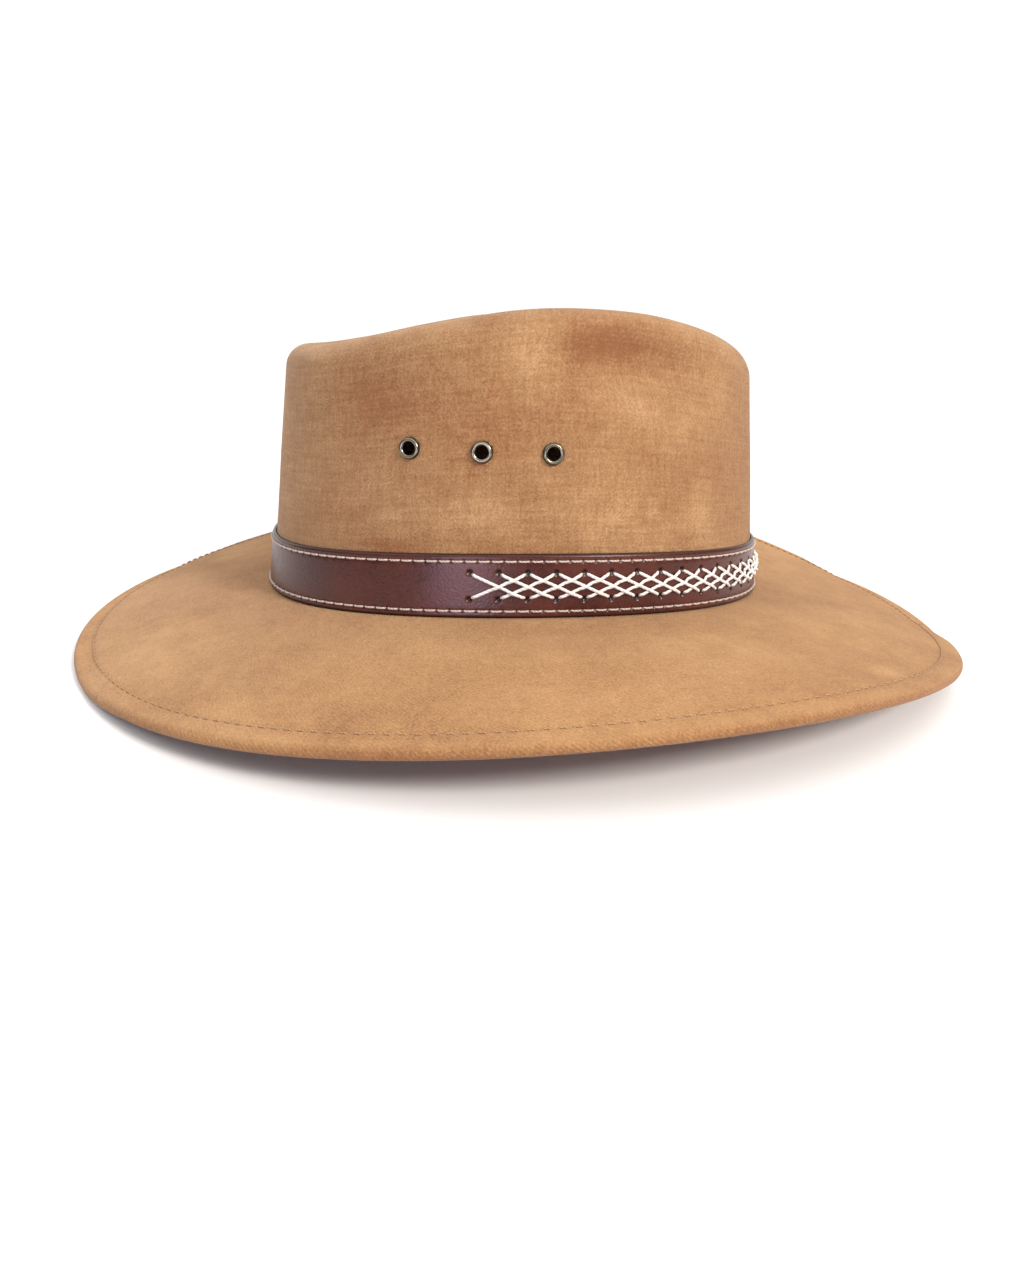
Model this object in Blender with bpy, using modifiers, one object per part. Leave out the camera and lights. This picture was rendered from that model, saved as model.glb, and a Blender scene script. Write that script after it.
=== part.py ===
"""Outback hat: a blocked suede-cloth crown on a wide brim, with a leather band and vent eyelets.

Metres, +Z up. The hat rests on the surface z = 0 on the front and back of its brim. Its front faces -Y
and the wearer's right side is -X. The origin lies under the middle of the brim. Angles go round the hat
from the front (0) by the wearer's right side (90 degrees) to the back (180 degrees).
"""
from collections import namedtuple
from math import acos, cos, pi, radians, sin

import bmesh
import bpy
import numpy as np
from mathutils import Matrix, Vector

# Driving dimensions: walls and clearances
CLOTH_WALL = 0.0020
BRIM_WALL = 0.0024
HEM_THICKNESS = 0.0038
HEM_WIDTH = 0.0072
LEATHER_WALL = 0.0014
CLEARANCE = 0.0003

# Driving dimensions: head oval, measured round the outside of the crown's foot
HEAD_LENGTH = 0.2043
HEAD_WIDTH = 0.1718
HEAD_SET_BACK = 0.0023
HEADLINE_HEIGHT = 0.0187
HEADLINE_SIDE_RISE = 0.0091

# Driving dimensions: brim, seen from above, and the lift of its edge at the sides
BRIM_LENGTH = 0.3577
BRIM_WIDTH = 0.3332
BRIM_FRONT_FULLNESS = 0.030
SIDE_LIFT = 0.0205
SIDE_LIFT_FORWARD = 0.0117
REST_PRESS = 0.0012
REST_STRIP = 0.0021
BRIM_CAMBER = 0.0010
HEM_RELIEF = 0.0002
SEAT_MARGIN = LEATHER_WALL + 3 * CLEARANCE

# Driving dimensions: crown
CROWN_HEIGHT = 0.1257
CROWN_SIDE_LEAN = 0.137
CROWN_END_LEAN = 0.120
BACK_SHOULDER = 0.0077
FRONT_SHOULDER = 0.0134
DENT_DEPTH = 0.0240
DENT_BANK = 0.0300
DENT_FLOOR_FOLLOW = 0.5
PINCH_DEPTH = 0.0075
PINCH_ANGLE = radians(70)
PINCH_SPREAD = radians(38)
PINCH_DROP = 0.0150
PINCH_REACH = 0.0210

# Height of the crown's rim along the hat: place from front (0) to back (1), share of CROWN_HEIGHT
RimPoint = namedtuple("RimPoint", "place height")
RIM_LINE = (
    RimPoint(0.00, 0.924),
    RimPoint(0.06, 0.937),
    RimPoint(0.12, 0.956),
    RimPoint(0.28, 0.992),
    RimPoint(0.40, 1.000),
    RimPoint(0.56, 0.992),
    RimPoint(0.72, 0.955),
    RimPoint(0.88, 0.909),
    RimPoint(1.00, 0.887),
)

# Driving dimensions: band and eyelets
BAND_HEIGHT = 0.0212
BAND_EDGE_CHAMFER = 0.0004
EYELET_FLANGE_RADIUS = 0.0036
EYELET_HOLE_RADIUS = 0.0020
EYELET_BARREL_RADIUS = 0.0027
EYELET_FLANGE_RISE = 0.0010
EYELET_INNER_DEPTH = 0.0005
EYELET_DROP = 0.0444
EYELET_HEIGHT = CROWN_HEIGHT - EYELET_DROP
EYELET_PITCH = 0.0231
EYELET_MIDDLE_SET_BACK = 0.0227

# Dome of an eyelet's flange: share of the way from its hole to its edge, share of its rise
DomePoint = namedtuple("DomePoint", "out rise")
EYELET_DOME = (DomePoint(0.0, 0.6), DomePoint(0.3, 1.0), DomePoint(0.7, 0.8), DomePoint(1.0, 0.0))

# Shape of the brim's edge: share of the hem's width in which it thickens, share of the rounding at
# which its corners stand in from the edge, and their height off its middle as a share of its thickness
HEM_STEP = 0.16
EDGE_CORNER_INSET = 0.28
EDGE_CORNER_HEIGHT = 0.3
SETTLE_RATE = 1.5
FULLNESS_POWER = 4

# Resolution of the faceted solids
STATIONS = 60
BRIM_SHARES = (0.0, 0.14, 0.3, 0.48, 0.66, 0.8)
WALL_SHARES = (0.0, 0.16, 0.32, 0.46, 0.58, 0.69, 0.79, 0.9)
SHOULDER_STEPS = 4
BANK_STEPS = 5
FLOOR_STEPS = 2
EYELET_SIDES = 14
SEAT_PASSES = 6
PROBE_ANGLE = radians(1)

# Finish of each sub-part: linear colour, roughness, metallic
SUEDE_CLOTH = ((0.45, 0.23, 0.10), 0.95, 0.0)
BAND_LEATHER = ((0.10, 0.025, 0.018), 0.42, 0.0)
AGED_BRASS = ((0.30, 0.24, 0.15), 0.35, 1.0)


def station_angles():
    """Angles of the stations round the hat, with a facet centred on the front, back and sides."""
    return (np.arange(STATIONS) + 0.5) * 2 * pi / STATIONS


def oval(angle, half_length, half_width, centre_y):
    """Plan position on an oval: front at -Y, wearer's right side at -X."""
    return -half_width * np.sin(angle), centre_y - half_length * np.cos(angle)


def smooth_line(table, place):
    """Height read from a table of places, eased through its rows by a cubic with the rows' own slopes."""
    places = np.array([row.place for row in table])
    heights = np.array([row.height for row in table])
    slopes = np.gradient(heights, places)
    slopes[0] = 0.0
    slopes[-1] = 0.0
    low = np.clip(np.searchsorted(places, place, side="right") - 1, 0, len(places) - 2)
    span = places[low + 1] - places[low]
    share = (place - places[low]) / span
    rising = share * share * (3 - 2 * share)
    leaving = share * (1 - share) ** 2 * span
    arriving = -share * share * (1 - share) * span
    return (heights[low] * (1 - rising) + heights[low + 1] * rising
            + slopes[low] * leaving + slopes[low + 1] * arriving)


def cosine_bump(distance, reach):
    """1 at distance 0, easing to 0 at the reach and beyond."""
    return 0.5 + 0.5 * np.cos(pi * np.clip(np.abs(distance) / reach, 0, 1))


def headline(angle):
    """Height of the seat where the crown and the band stand on the brim."""
    return HEADLINE_HEIGHT + HEADLINE_SIDE_RISE * np.sin(angle) ** 2


def brim_edge(angle):
    """Height of the underside of the brim's edge: on the surface in front and behind, lifted at the sides."""
    side = np.sin(angle) ** 2
    lift = side * (SIDE_LIFT + SIDE_LIFT_FORWARD * np.cos(angle))
    return np.maximum(0.0, lift - REST_PRESS)


def rim_height(angle):
    """Height of the crown's rim above the surface."""
    return CROWN_HEIGHT * smooth_line(RIM_LINE, (1 - np.cos(angle)) / 2)


def shoulder_radius(angle):
    """Radius of the crown's rounded rim, larger at the front than at the back."""
    forward = (1 + np.cos(angle)) / 2
    return BACK_SHOULDER + (FRONT_SHOULDER - BACK_SHOULDER) * forward ** 2


def pinch(angle, height):
    """Depth of the two hollows pinched into the sides of the crown near the front, below the rim."""
    turn = np.minimum(angle, 2 * pi - angle)
    round_hat = cosine_bump(turn - PINCH_ANGLE, PINCH_SPREAD)
    up_wall = cosine_bump(rim_height(angle) - PINCH_DROP - height, PINCH_REACH)
    return PINCH_DEPTH * round_hat * up_wall


def crown_ring(angle, inset, height):
    """One ring of the crown's outer face: the head oval, leaning in as it rises, drawn in by an inset."""
    rise = height - headline(angle)
    drawn = inset + pinch(angle, height)
    half_length = HEAD_LENGTH / 2 - drawn - CROWN_END_LEAN * rise
    half_width = HEAD_WIDTH / 2 - drawn - CROWN_SIDE_LEAN * rise
    across, along = oval(angle, half_length, half_width, HEAD_SET_BACK)
    return np.stack(np.broadcast_arrays(across, along, height), axis=-1)


def crown_rings():
    """Rings of the crown's outer face from its foot, over the rim and down the dent to its floor."""
    angle = station_angles()
    foot = headline(angle) + CLEARANCE
    rim = rim_height(angle)
    radius = shoulder_radius(angle)
    rings = [crown_ring(angle, 0.0, foot + share * (rim - radius - foot)) for share in WALL_SHARES]
    for step in range(SHOULDER_STEPS + 1):
        turn = step / SHOULDER_STEPS * pi / 2
        rings.append(crown_ring(angle, radius * (1 - cos(turn)), rim - radius * (1 - sin(turn))))
    lip = rings[-1]
    centre = np.array([0.0, HEAD_SET_BACK])
    lip_run = np.hypot(lip[:, 0] - centre[0], lip[:, 1] - centre[1])
    floor_centre = CROWN_HEIGHT * smooth_line(RIM_LINE, 0.5) - DENT_DEPTH
    bank_run = DENT_BANK / lip_run
    for step in range(1, BANK_STEPS + 1):
        share = step / BANK_STEPS
        rings.append(dent_ring(lip, centre, bank_run * share, share, floor_centre))
    for step in range(1, FLOOR_STEPS + 1):
        run = bank_run + (1 - bank_run) * step / (FLOOR_STEPS + 1)
        rings.append(dent_ring(lip, centre, run, 1.0, floor_centre))
    return rings, (centre[0], centre[1], floor_centre)


def dent_ring(lip, centre, run, share, floor_centre):
    """One ring of the dent, a run of the way from the lip to the centre and a share of the way down."""
    ring = lip.copy()
    ring[:, :2] += (centre - lip[:, :2]) * np.reshape(run, (-1, 1))
    floor = floor_centre + (1 - run) * DENT_FLOOR_FOLLOW * (lip[:, 2] - DENT_DEPTH - floor_centre)
    down = (1 - cos(pi * share)) / 2
    ring[:, 2] = lip[:, 2] + (floor - lip[:, 2]) * down
    return ring


def settle(height):
    """Height of a point on the underside after the hat's weight has pressed the lowest cloth flat."""
    eased = (height - REST_PRESS) * SETTLE_RATE
    return np.where(height < REST_PRESS, 0.0, np.minimum(height, np.maximum(eased, 0.0)))


def brim_section(angle):
    """Closed section of the brim at every station, from the opening over the top and back underneath."""
    seat = headline(angle)
    edge_top = brim_edge(angle) + HEM_THICKNESS
    seat_length = HEAD_LENGTH / 2 + SEAT_MARGIN
    seat_width = HEAD_WIDTH / 2 + SEAT_MARGIN
    opening_length = HEAD_LENGTH / 2 - CLOTH_WALL
    opening_width = HEAD_WIDTH / 2 - CLOTH_WALL
    run = BRIM_LENGTH / 2 - seat_length
    edge_width = BRIM_WIDTH / 2 * (1 + BRIM_FRONT_FULLNESS * ((1 + np.cos(angle)) / 2) ** FULLNESS_POWER)

    def level(share, thickness, raise_top):
        """Top and underside at a share of the way from the seat to the edge."""
        length = seat_length + (BRIM_LENGTH / 2 - seat_length) * share
        width = seat_width + (edge_width - seat_width) * share
        across, along = oval(angle, length, width, HEAD_SET_BACK * (1 - share))
        camber = BRIM_CAMBER * sin(pi * share)
        top = seat + (edge_top - HEM_RELIEF - seat) * share + camber + raise_top
        under = top - thickness
        drop = under - settle(under)
        return across, along, top - drop, under - drop

    hem = HEM_WIDTH / run
    bead = 0.5 * HEM_THICKNESS / run
    strip = REST_STRIP / run
    plain_shares = (*BRIM_SHARES, 1 - hem)
    hem_shares = (1 - (1 - HEM_STEP) * hem, 1 - bead - strip, 1 - bead)
    levels = [level(share, BRIM_WALL, 0.0) for share in plain_shares]
    levels += [level(share, HEM_THICKNESS, HEM_RELIEF) for share in hem_shares]
    inner_across, inner_along = oval(angle, opening_length, opening_width, HEAD_SET_BACK)
    section = [(inner_across, inner_along, seat)]
    section += [(across, along, top) for across, along, top, under in levels]
    edge_across, edge_along, edge_high, edge_low = level(1.0, HEM_THICKNESS, HEM_RELIEF)
    near_across, near_along = level(1 - EDGE_CORNER_INSET * bead, HEM_THICKNESS, HEM_RELIEF)[:2]
    middle = (edge_high + edge_low) / 2
    corner = EDGE_CORNER_HEIGHT * HEM_THICKNESS
    section.append((near_across, near_along, middle + corner))
    section.append((edge_across, edge_along, middle))
    section.append((near_across, near_along, middle - corner))
    section += [(across, along, under) for across, along, top, under in reversed(levels)]
    section.append((inner_across, inner_along, seat - BRIM_WALL))
    return [np.stack(point, axis=-1) for point in section]


def band_section(angle):
    """Closed section of the leather band: it stands on the brim and follows the crown's wall."""
    foot = headline(angle) + CLEARANCE
    chamfer = BAND_EDGE_CHAMFER
    corners = ((0.0, 0.0), (LEATHER_WALL - chamfer, 0.0), (LEATHER_WALL, chamfer),
               (LEATHER_WALL, BAND_HEIGHT - chamfer), (LEATHER_WALL - chamfer, BAND_HEIGHT),
               (0.0, BAND_HEIGHT))
    return [crown_ring(angle, -CLEARANCE - out, foot + up) for out, up in corners]


def loft(name, rings, closed_section, pole=None):
    """Mesh through rings of equal count, closed round each ring, closed across the rings or at a pole."""
    shape = bmesh.new()
    grid = [[shape.verts.new(point) for point in ring] for ring in rings]
    pairs = list(zip(grid, grid[1:]))
    if closed_section:
        pairs.append((grid[-1], grid[0]))
    for lower, upper in pairs:
        for index in range(len(lower)):
            after = (index + 1) % len(lower)
            shape.faces.new((lower[index], lower[after], upper[after], upper[index]))
    if pole is not None:
        tip = shape.verts.new(pole)
        for index in range(len(grid[-1])):
            shape.faces.new((grid[-1][index], grid[-1][(index + 1) % len(grid[-1])], tip))
    bmesh.ops.recalc_face_normals(shape, faces=shape.faces)
    mesh = bpy.data.meshes.new(name)
    shape.to_mesh(mesh)
    shape.free()
    mesh.shade_smooth()
    return mesh


def finish(name, finish_values):
    """Principled material from a colour, a roughness and a metallic value."""
    colour, roughness, metallic = finish_values
    material = bpy.data.materials.new(name)
    material.use_nodes = True
    shader = material.node_tree.nodes["Principled BSDF"]
    shader.inputs["Base Color"].default_value = (*colour, 1.0)
    shader.inputs["Roughness"].default_value = roughness
    shader.inputs["Metallic"].default_value = metallic
    return material


def add_object(collection, mesh, material=None):
    """Object for a mesh, in a collection."""
    piece = bpy.data.objects.new(mesh.name, mesh)
    collection.objects.link(piece)
    if material is not None:
        mesh.materials.clear()
        mesh.materials.append(material)
    return piece


def wall_point(angle, height):
    """Point of the crown's outer face at an angle and a height."""
    return crown_ring(np.array([angle]), 0.0, np.array([height]))[0]


def wall_angle(back, height):
    """Angle at which the crown's wall, at a height, lies this far behind the middle of the head."""
    angle = pi / 2
    for _ in range(SEAT_PASSES):
        drawn = CROWN_END_LEAN * (height - headline(angle))
        angle = acos(-back / (HEAD_LENGTH / 2 - drawn))
    return angle


def eyelet_places():
    """Name and placing matrix of each eyelet: its axis leaves the crown's wall at right angles."""
    places = []
    for number in range(3):
        back = EYELET_MIDDLE_SET_BACK + (number - 1) * EYELET_PITCH
        angle = wall_angle(back, EYELET_HEIGHT)
        seat = wall_point(angle, EYELET_HEIGHT)
        fore = wall_point(angle - PROBE_ANGLE, EYELET_HEIGHT)
        aft = wall_point(angle + PROBE_ANGLE, EYELET_HEIGHT)
        below = wall_point(angle, EYELET_HEIGHT - CLEARANCE)
        above = wall_point(angle, EYELET_HEIGHT + CLEARANCE)
        normal = np.cross(aft - fore, above - below)
        for side, turn in (("right", 1), ("left", -1)):
            mirror = np.array([turn, 1, 1])
            outward = Vector(normal * mirror).normalized()
            if outward.x * turn > 0:
                outward.negate()
            sideways = Vector((0, 0, 1)).cross(outward).normalized()
            place = Matrix((sideways, outward.cross(sideways), outward)).transposed().to_4x4()
            place.translation = seat * mirror
            places.append((f"eyelet_{side}_{number + 1}", place))
    return places


def eyelet_mesh(material):
    """Turned eyelet: a domed outer flange, a barrel through the cloth and a flat inner flange."""
    outside = CLEARANCE
    inside = -CLOTH_WALL - CLEARANCE
    flange = EYELET_FLANGE_RADIUS - EYELET_HOLE_RADIUS
    profile = [(EYELET_HOLE_RADIUS + flange * point.out, outside + EYELET_FLANGE_RISE * point.rise)
               for point in EYELET_DOME]
    profile += [
        (EYELET_BARREL_RADIUS, outside),
        (EYELET_BARREL_RADIUS, inside),
        (EYELET_FLANGE_RADIUS, inside),
        (EYELET_FLANGE_RADIUS, inside - EYELET_INNER_DEPTH),
        (EYELET_HOLE_RADIUS, inside - EYELET_INNER_DEPTH),
    ]
    mesh = bpy.data.meshes.new("eyelet")
    count = len(profile)
    edges = [(index, (index + 1) % count) for index in range(count)]
    mesh.from_pydata([(radius, 0.0, height) for radius, height in profile], edges, [])
    mesh.materials.append(material)
    return mesh


def build_eyelets(collection, cutters, crown):
    """Eyelets on both sides of the crown, and the holes cut through its wall for their barrels."""
    brass = finish("aged_brass", AGED_BRASS)
    mesh = eyelet_mesh(brass)
    for name, place in eyelet_places():
        eyelet = bpy.data.objects.new(name, mesh)
        collection.objects.link(eyelet)
        eyelet.matrix_world = place
        turning = eyelet.modifiers.new("turning", "SCREW")
        turning.axis = "Z"
        turning.angle = 2 * pi
        turning.steps = EYELET_SIDES
        turning.render_steps = EYELET_SIDES
        turning.use_merge_vertices = True
        turning.merge_threshold = 0.00001

        shape = bmesh.new()
        radius = EYELET_BARREL_RADIUS + CLEARANCE
        bmesh.ops.create_cone(shape, cap_ends=True, segments=EYELET_SIDES, depth=4 * CLOTH_WALL,
                              radius1=radius, radius2=radius)
        cutter_mesh = bpy.data.meshes.new(f"hole_for_{name}")
        shape.to_mesh(cutter_mesh)
        shape.free()
        cutter = add_object(cutters, cutter_mesh)
        cutter.matrix_world = place @ Matrix.Translation((0, 0, -CLOTH_WALL / 2))
        cutter.display_type = "WIRE"
        cutter.hide_render = True
        hole = crown.modifiers.new(f"hole_for_{name}", "BOOLEAN")
        hole.operation = "DIFFERENCE"
        hole.solver = "EXACT"
        hole.object = cutter


def build_crown(collection, cloth):
    """Crown: an open shell lofted from foot to dent, given its wall by Solidify."""
    rings, pole = crown_rings()
    crown = add_object(collection, loft("crown", rings, False, pole), cloth)
    wall = crown.modifiers.new("wall", "SOLIDIFY")
    wall.thickness = CLOTH_WALL
    wall.offset = -1.0
    wall.use_even_offset = True
    return crown


def main():
    """Build the hat in a collection of its own, with the hole cutters in another."""
    for old in list(bpy.data.objects):
        bpy.data.objects.remove(old, do_unlink=True)
    hat = bpy.data.collections.new("outback_hat")
    cutters = bpy.data.collections.new("cutters")
    for collection in (hat, cutters):
        bpy.context.scene.collection.children.link(collection)
    angle = station_angles()
    cloth = finish("suede_cloth", SUEDE_CLOTH)
    crown = build_crown(hat, cloth)
    add_object(hat, loft("brim", brim_section(angle), True), cloth)
    add_object(hat, loft("hat_band", band_section(angle), True), finish("band_leather", BAND_LEATHER))
    build_eyelets(hat, cutters, crown)


main()
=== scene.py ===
"""Looks of a wide-brimmed outback hat in brushed suede cloth, with a cross-laced leather band.

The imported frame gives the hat's reach and height. Each sub-assembly is a class that lays its surfaces
out as numpy grids on the hat's own form, dresses them in a finish and puts them on the frame's body.
Metres, +Z up; the hat's front faces -Y and the wearer's right side, the side the camera sees, is -X.
Angles go round the hat from the front (0) by the wearer's right side (90 degrees) to the back.
"""

import logging
import math
from dataclasses import dataclass, field
from enum import Enum
from typing import Any, Callable

import bpy
import numpy as np
from mathutils import Matrix, Vector


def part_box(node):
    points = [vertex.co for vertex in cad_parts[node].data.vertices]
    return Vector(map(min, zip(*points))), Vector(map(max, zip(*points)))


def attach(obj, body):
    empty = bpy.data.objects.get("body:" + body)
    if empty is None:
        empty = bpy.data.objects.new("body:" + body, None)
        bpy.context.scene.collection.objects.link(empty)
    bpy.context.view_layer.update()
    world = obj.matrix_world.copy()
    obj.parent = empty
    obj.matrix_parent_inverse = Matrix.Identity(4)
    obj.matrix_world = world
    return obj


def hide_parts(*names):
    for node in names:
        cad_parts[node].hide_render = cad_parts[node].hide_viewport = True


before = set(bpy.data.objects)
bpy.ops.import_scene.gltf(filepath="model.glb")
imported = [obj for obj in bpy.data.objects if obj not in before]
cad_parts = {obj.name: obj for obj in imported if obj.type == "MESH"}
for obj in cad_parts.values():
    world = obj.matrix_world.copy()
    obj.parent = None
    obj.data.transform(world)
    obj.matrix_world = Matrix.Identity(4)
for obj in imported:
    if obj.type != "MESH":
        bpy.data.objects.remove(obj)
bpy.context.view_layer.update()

BODY = "root"
MM = 0.001
TURN = 2 * math.pi
CAD_STATIONS = 60
PROFILE_STEP = 0.2 * MM
PHOTO_WIDTH = 1024
PHOTO_HEIGHT = 1280

log = logging.getLogger("outback_hat")


class Slot(Enum):
    """Material slots that the record names."""

    CLOTH = "suede_cloth"
    LEATHER = "band_leather"
    BRASS = "aged_brass"
    CORD = "lacing_cord"
    THREAD = "stitching_thread"


class Side(Enum):
    """Sides of the hat as the wearer has them; the value is the sign of the way round."""

    RIGHT = 1
    LEFT = -1


class Face(Enum):
    """Faces of the brim; the value is the sign of the way a seam stands off it."""

    TOP = 1
    UNDER = -1


def smoothstep(low: float, high: float, value: np.ndarray) -> np.ndarray:
    """Ease from 0 at low to 1 at high: three times the square less twice the cube of the share."""
    share = np.clip((value - low) / (high - low), 0.0, 1.0)
    return share * share * (3 - 2 * share)


def cosine_bump(distance: np.ndarray, reach: float) -> np.ndarray:
    """Bump of height 1 at distance 0: half of one plus the cosine, and 0 at the reach and beyond."""
    return 0.5 + 0.5 * np.cos(math.pi * np.clip(np.abs(distance) / reach, 0, 1))


def bell(distance: np.ndarray, width: float) -> np.ndarray:
    """Bell curve of height 1: e to minus the square of distance over width."""
    return np.exp(-(distance / width) ** 2)


def unit(vectors: np.ndarray) -> np.ndarray:
    """Vectors of the last axis, each divided by its own length."""
    return vectors / np.linalg.norm(vectors, axis=-1, keepdims=True)


@dataclass(frozen=True)
class Ripple:
    """One slow wave in blocked cloth: waves round the hat and across it, a phase and a share."""

    around: int
    across: float
    phase: float
    share: float


def ripples(rows: tuple[Ripple, ...], angle: np.ndarray, place: np.ndarray) -> np.ndarray:
    """Sum of sines: each row gives share times the sine of around times angle plus across times place."""
    return sum(row.share * np.sin(row.around * angle + row.across * TURN * place + row.phase)
               for row in rows)


@dataclass(frozen=True)
class RimPoint:
    """Height of the crown's rim at a place along the hat, from front (0) to back (1)."""

    place: float
    height: float


RIM_LINE = (
    RimPoint(0.00, 0.924), RimPoint(0.06, 0.937), RimPoint(0.12, 0.956),
    RimPoint(0.28, 0.992), RimPoint(0.40, 1.000), RimPoint(0.56, 0.992),
    RimPoint(0.72, 0.955), RimPoint(0.88, 0.909), RimPoint(1.00, 0.887),
)


@dataclass(frozen=True)
class HatForm:
    """The hat's own form. The brim's reach and the crown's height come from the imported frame.

    The brim's seat lies outside the crown by the band's leather and three clearances. Its front is
    fuller by a share that fades with a power of the way forward. Of the hem's width, hem_full is at its
    whole thickness, and cloth pressed flat where the hat rests comes free at press_ease times its height.
    """

    brim_length: float
    brim_width: float
    crown_height: float
    cloth_wall: float = 2.0 * MM
    brim_wall: float = 2.4 * MM
    hem_thickness: float = 3.8 * MM
    hem_width: float = 7.2 * MM
    hem_relief: float = 0.2 * MM
    leather_wall: float = 1.4 * MM
    clearance: float = 0.3 * MM
    head_length: float = 204.3 * MM
    head_width: float = 171.8 * MM
    head_set_back: float = 2.3 * MM
    headline_height: float = 18.7 * MM
    headline_side_rise: float = 9.1 * MM
    side_lift: float = 20.5 * MM
    side_lift_forward: float = 11.7 * MM
    rest_press: float = 1.2 * MM
    brim_camber: float = 1.0 * MM
    brim_front_fullness: float = 0.030
    fullness_power: int = 4
    seat_clearances: int = 3
    hem_full: float = 0.84
    press_ease: float = 1.5
    crown_side_lean: float = 0.137
    crown_end_lean: float = 0.120
    back_shoulder: float = 7.7 * MM
    front_shoulder: float = 13.4 * MM
    dent_depth: float = 24.0 * MM
    dent_bank: float = 30.0 * MM
    pinch_depth: float = 7.5 * MM
    pinch_angle: float = math.radians(70)
    pinch_spread: float = math.radians(38)
    pinch_drop: float = 15.0 * MM
    pinch_reach: float = 21.0 * MM
    band_height: float = 21.2 * MM

    @classmethod
    def from_frame(cls) -> "HatForm":
        """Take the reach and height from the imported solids, whose facets cut the oval short.

        Returns:
            The hat's form.
        """
        brim_low, brim_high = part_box("brim")
        crown_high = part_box("crown")[1]
        whole = 1 / math.cos(math.pi / CAD_STATIONS)
        return cls(brim_length=(brim_high[1] - brim_low[1]) * whole,
                   brim_width=(brim_high[0] - brim_low[0]) / cls.widest(), crown_height=crown_high[2])

    @classmethod
    def widest(cls) -> float:
        """Find the widest place across the brim, whose front is fuller than its middle.

        Returns:
            That width as a share of the width at the middle.
        """
        angle = (np.arange(CAD_STATIONS) + 0.5) * TURN / CAD_STATIONS
        return float(np.max(np.sin(angle) * cls.fullness(angle)))

    @classmethod
    def fullness(cls, angle: np.ndarray) -> np.ndarray:
        """Widening of the brim towards its front: one plus a share of a power of the share forward."""
        return 1 + cls.brim_front_fullness * ((1 + np.cos(angle)) / 2) ** cls.fullness_power

    def oval(self, angle: np.ndarray, half_length: np.ndarray, half_width: np.ndarray,
             centre_y: np.ndarray) -> tuple[np.ndarray, np.ndarray]:
        """Plan position on an oval: minus half width times sine, centre minus half length times cosine."""
        return -half_width * np.sin(angle), centre_y - half_length * np.cos(angle)

    def headline(self, angle: np.ndarray) -> np.ndarray:
        """Height of the crown's foot: lowest in front and behind, raised by the square of the sine."""
        return self.headline_height + self.headline_side_rise * np.sin(angle) ** 2

    def brim_edge(self, angle: np.ndarray) -> np.ndarray:
        """Underside of the brim's edge: the side lift times the square of the sine, less the press."""
        lift = np.sin(angle) ** 2 * (self.side_lift + self.side_lift_forward * np.cos(angle))
        return np.maximum(0.0, lift - self.rest_press)

    def rim_share(self, place: np.ndarray) -> np.ndarray:
        """Run a cubic through the rim line, with the slope each point has between its neighbours.

        Args:
            place: places along the hat, from front (0) to back (1).

        Returns:
            Rim height at each place as a share of the crown's height.
        """
        places = np.array([point.place for point in RIM_LINE])
        heights = np.array([point.height for point in RIM_LINE])
        slopes = np.gradient(heights, places)
        slopes[[0, -1]] = 0.0
        low = np.clip(np.searchsorted(places, place, side="right") - 1, 0, len(places) - 2)
        span = places[low + 1] - places[low]
        share = (place - places[low]) / span
        rising = share * share * (3 - 2 * share)
        tilt = slopes[low] * share * (1 - share) ** 2 - slopes[low + 1] * share * share * (1 - share)
        return heights[low] * (1 - rising) + heights[low + 1] * rising + tilt * span

    def rim_height(self, angle: np.ndarray) -> np.ndarray:
        """Height of the crown's rim above the surface."""
        return self.crown_height * self.rim_share((1 - np.cos(angle)) / 2)

    def shoulder(self, angle: np.ndarray) -> np.ndarray:
        """Radius of the rounded rim: larger in front, by the square of the share forward."""
        forward = (1 + np.cos(angle)) / 2
        return self.back_shoulder + (self.front_shoulder - self.back_shoulder) * forward ** 2

    def pinch(self, angle: np.ndarray, height: np.ndarray) -> np.ndarray:
        """Pinch both sides near the front: a bump round the hat times a bump up its wall.

        Args:
            angle: angles round the hat.
            height: heights above the surface it rests on.

        Returns:
            Depth of the hollow at each point.
        """
        turn = np.abs(np.mod(angle + math.pi, TURN) - math.pi)
        round_hat = cosine_bump(turn - self.pinch_angle, self.pinch_spread)
        up_wall = cosine_bump(self.rim_height(angle) - self.pinch_drop - height, self.pinch_reach)
        return self.pinch_depth * round_hat * up_wall

    def crown_point(self, angle: np.ndarray, inset: np.ndarray, height: np.ndarray) -> np.ndarray:
        """Points of the crown's outer face: the head oval, which leans in as it rises.

        Args:
            angle: angles round the hat.
            inset: how far each point is drawn in from the wall.
            height: heights above the surface it rests on.

        Returns:
            The points, three coordinates each.
        """
        rise = height - self.headline(angle)
        drawn = inset + self.pinch(angle, height)
        across, along = self.oval(angle, self.head_length / 2 - drawn - self.crown_end_lean * rise,
                                  self.head_width / 2 - drawn - self.crown_side_lean * rise,
                                  self.head_set_back)
        return np.stack(np.broadcast_arrays(across, along, height), axis=-1)

    def band_point(self, angle: np.ndarray, up: np.ndarray, out: np.ndarray) -> np.ndarray:
        """Point over the band's seat: up from its foot and out from its inner face, along the crown."""
        foot = self.headline(angle) + self.clearance
        return self.crown_point(angle, -(self.clearance + out), foot + up)

    def settle(self, height: np.ndarray) -> np.ndarray:
        """Underside height once the hat's weight has pressed the lowest cloth flat on the surface."""
        freed = np.maximum((height - self.rest_press) * self.press_ease, 0.0)
        return np.where(height < self.rest_press, 0.0, np.minimum(height, freed))

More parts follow.
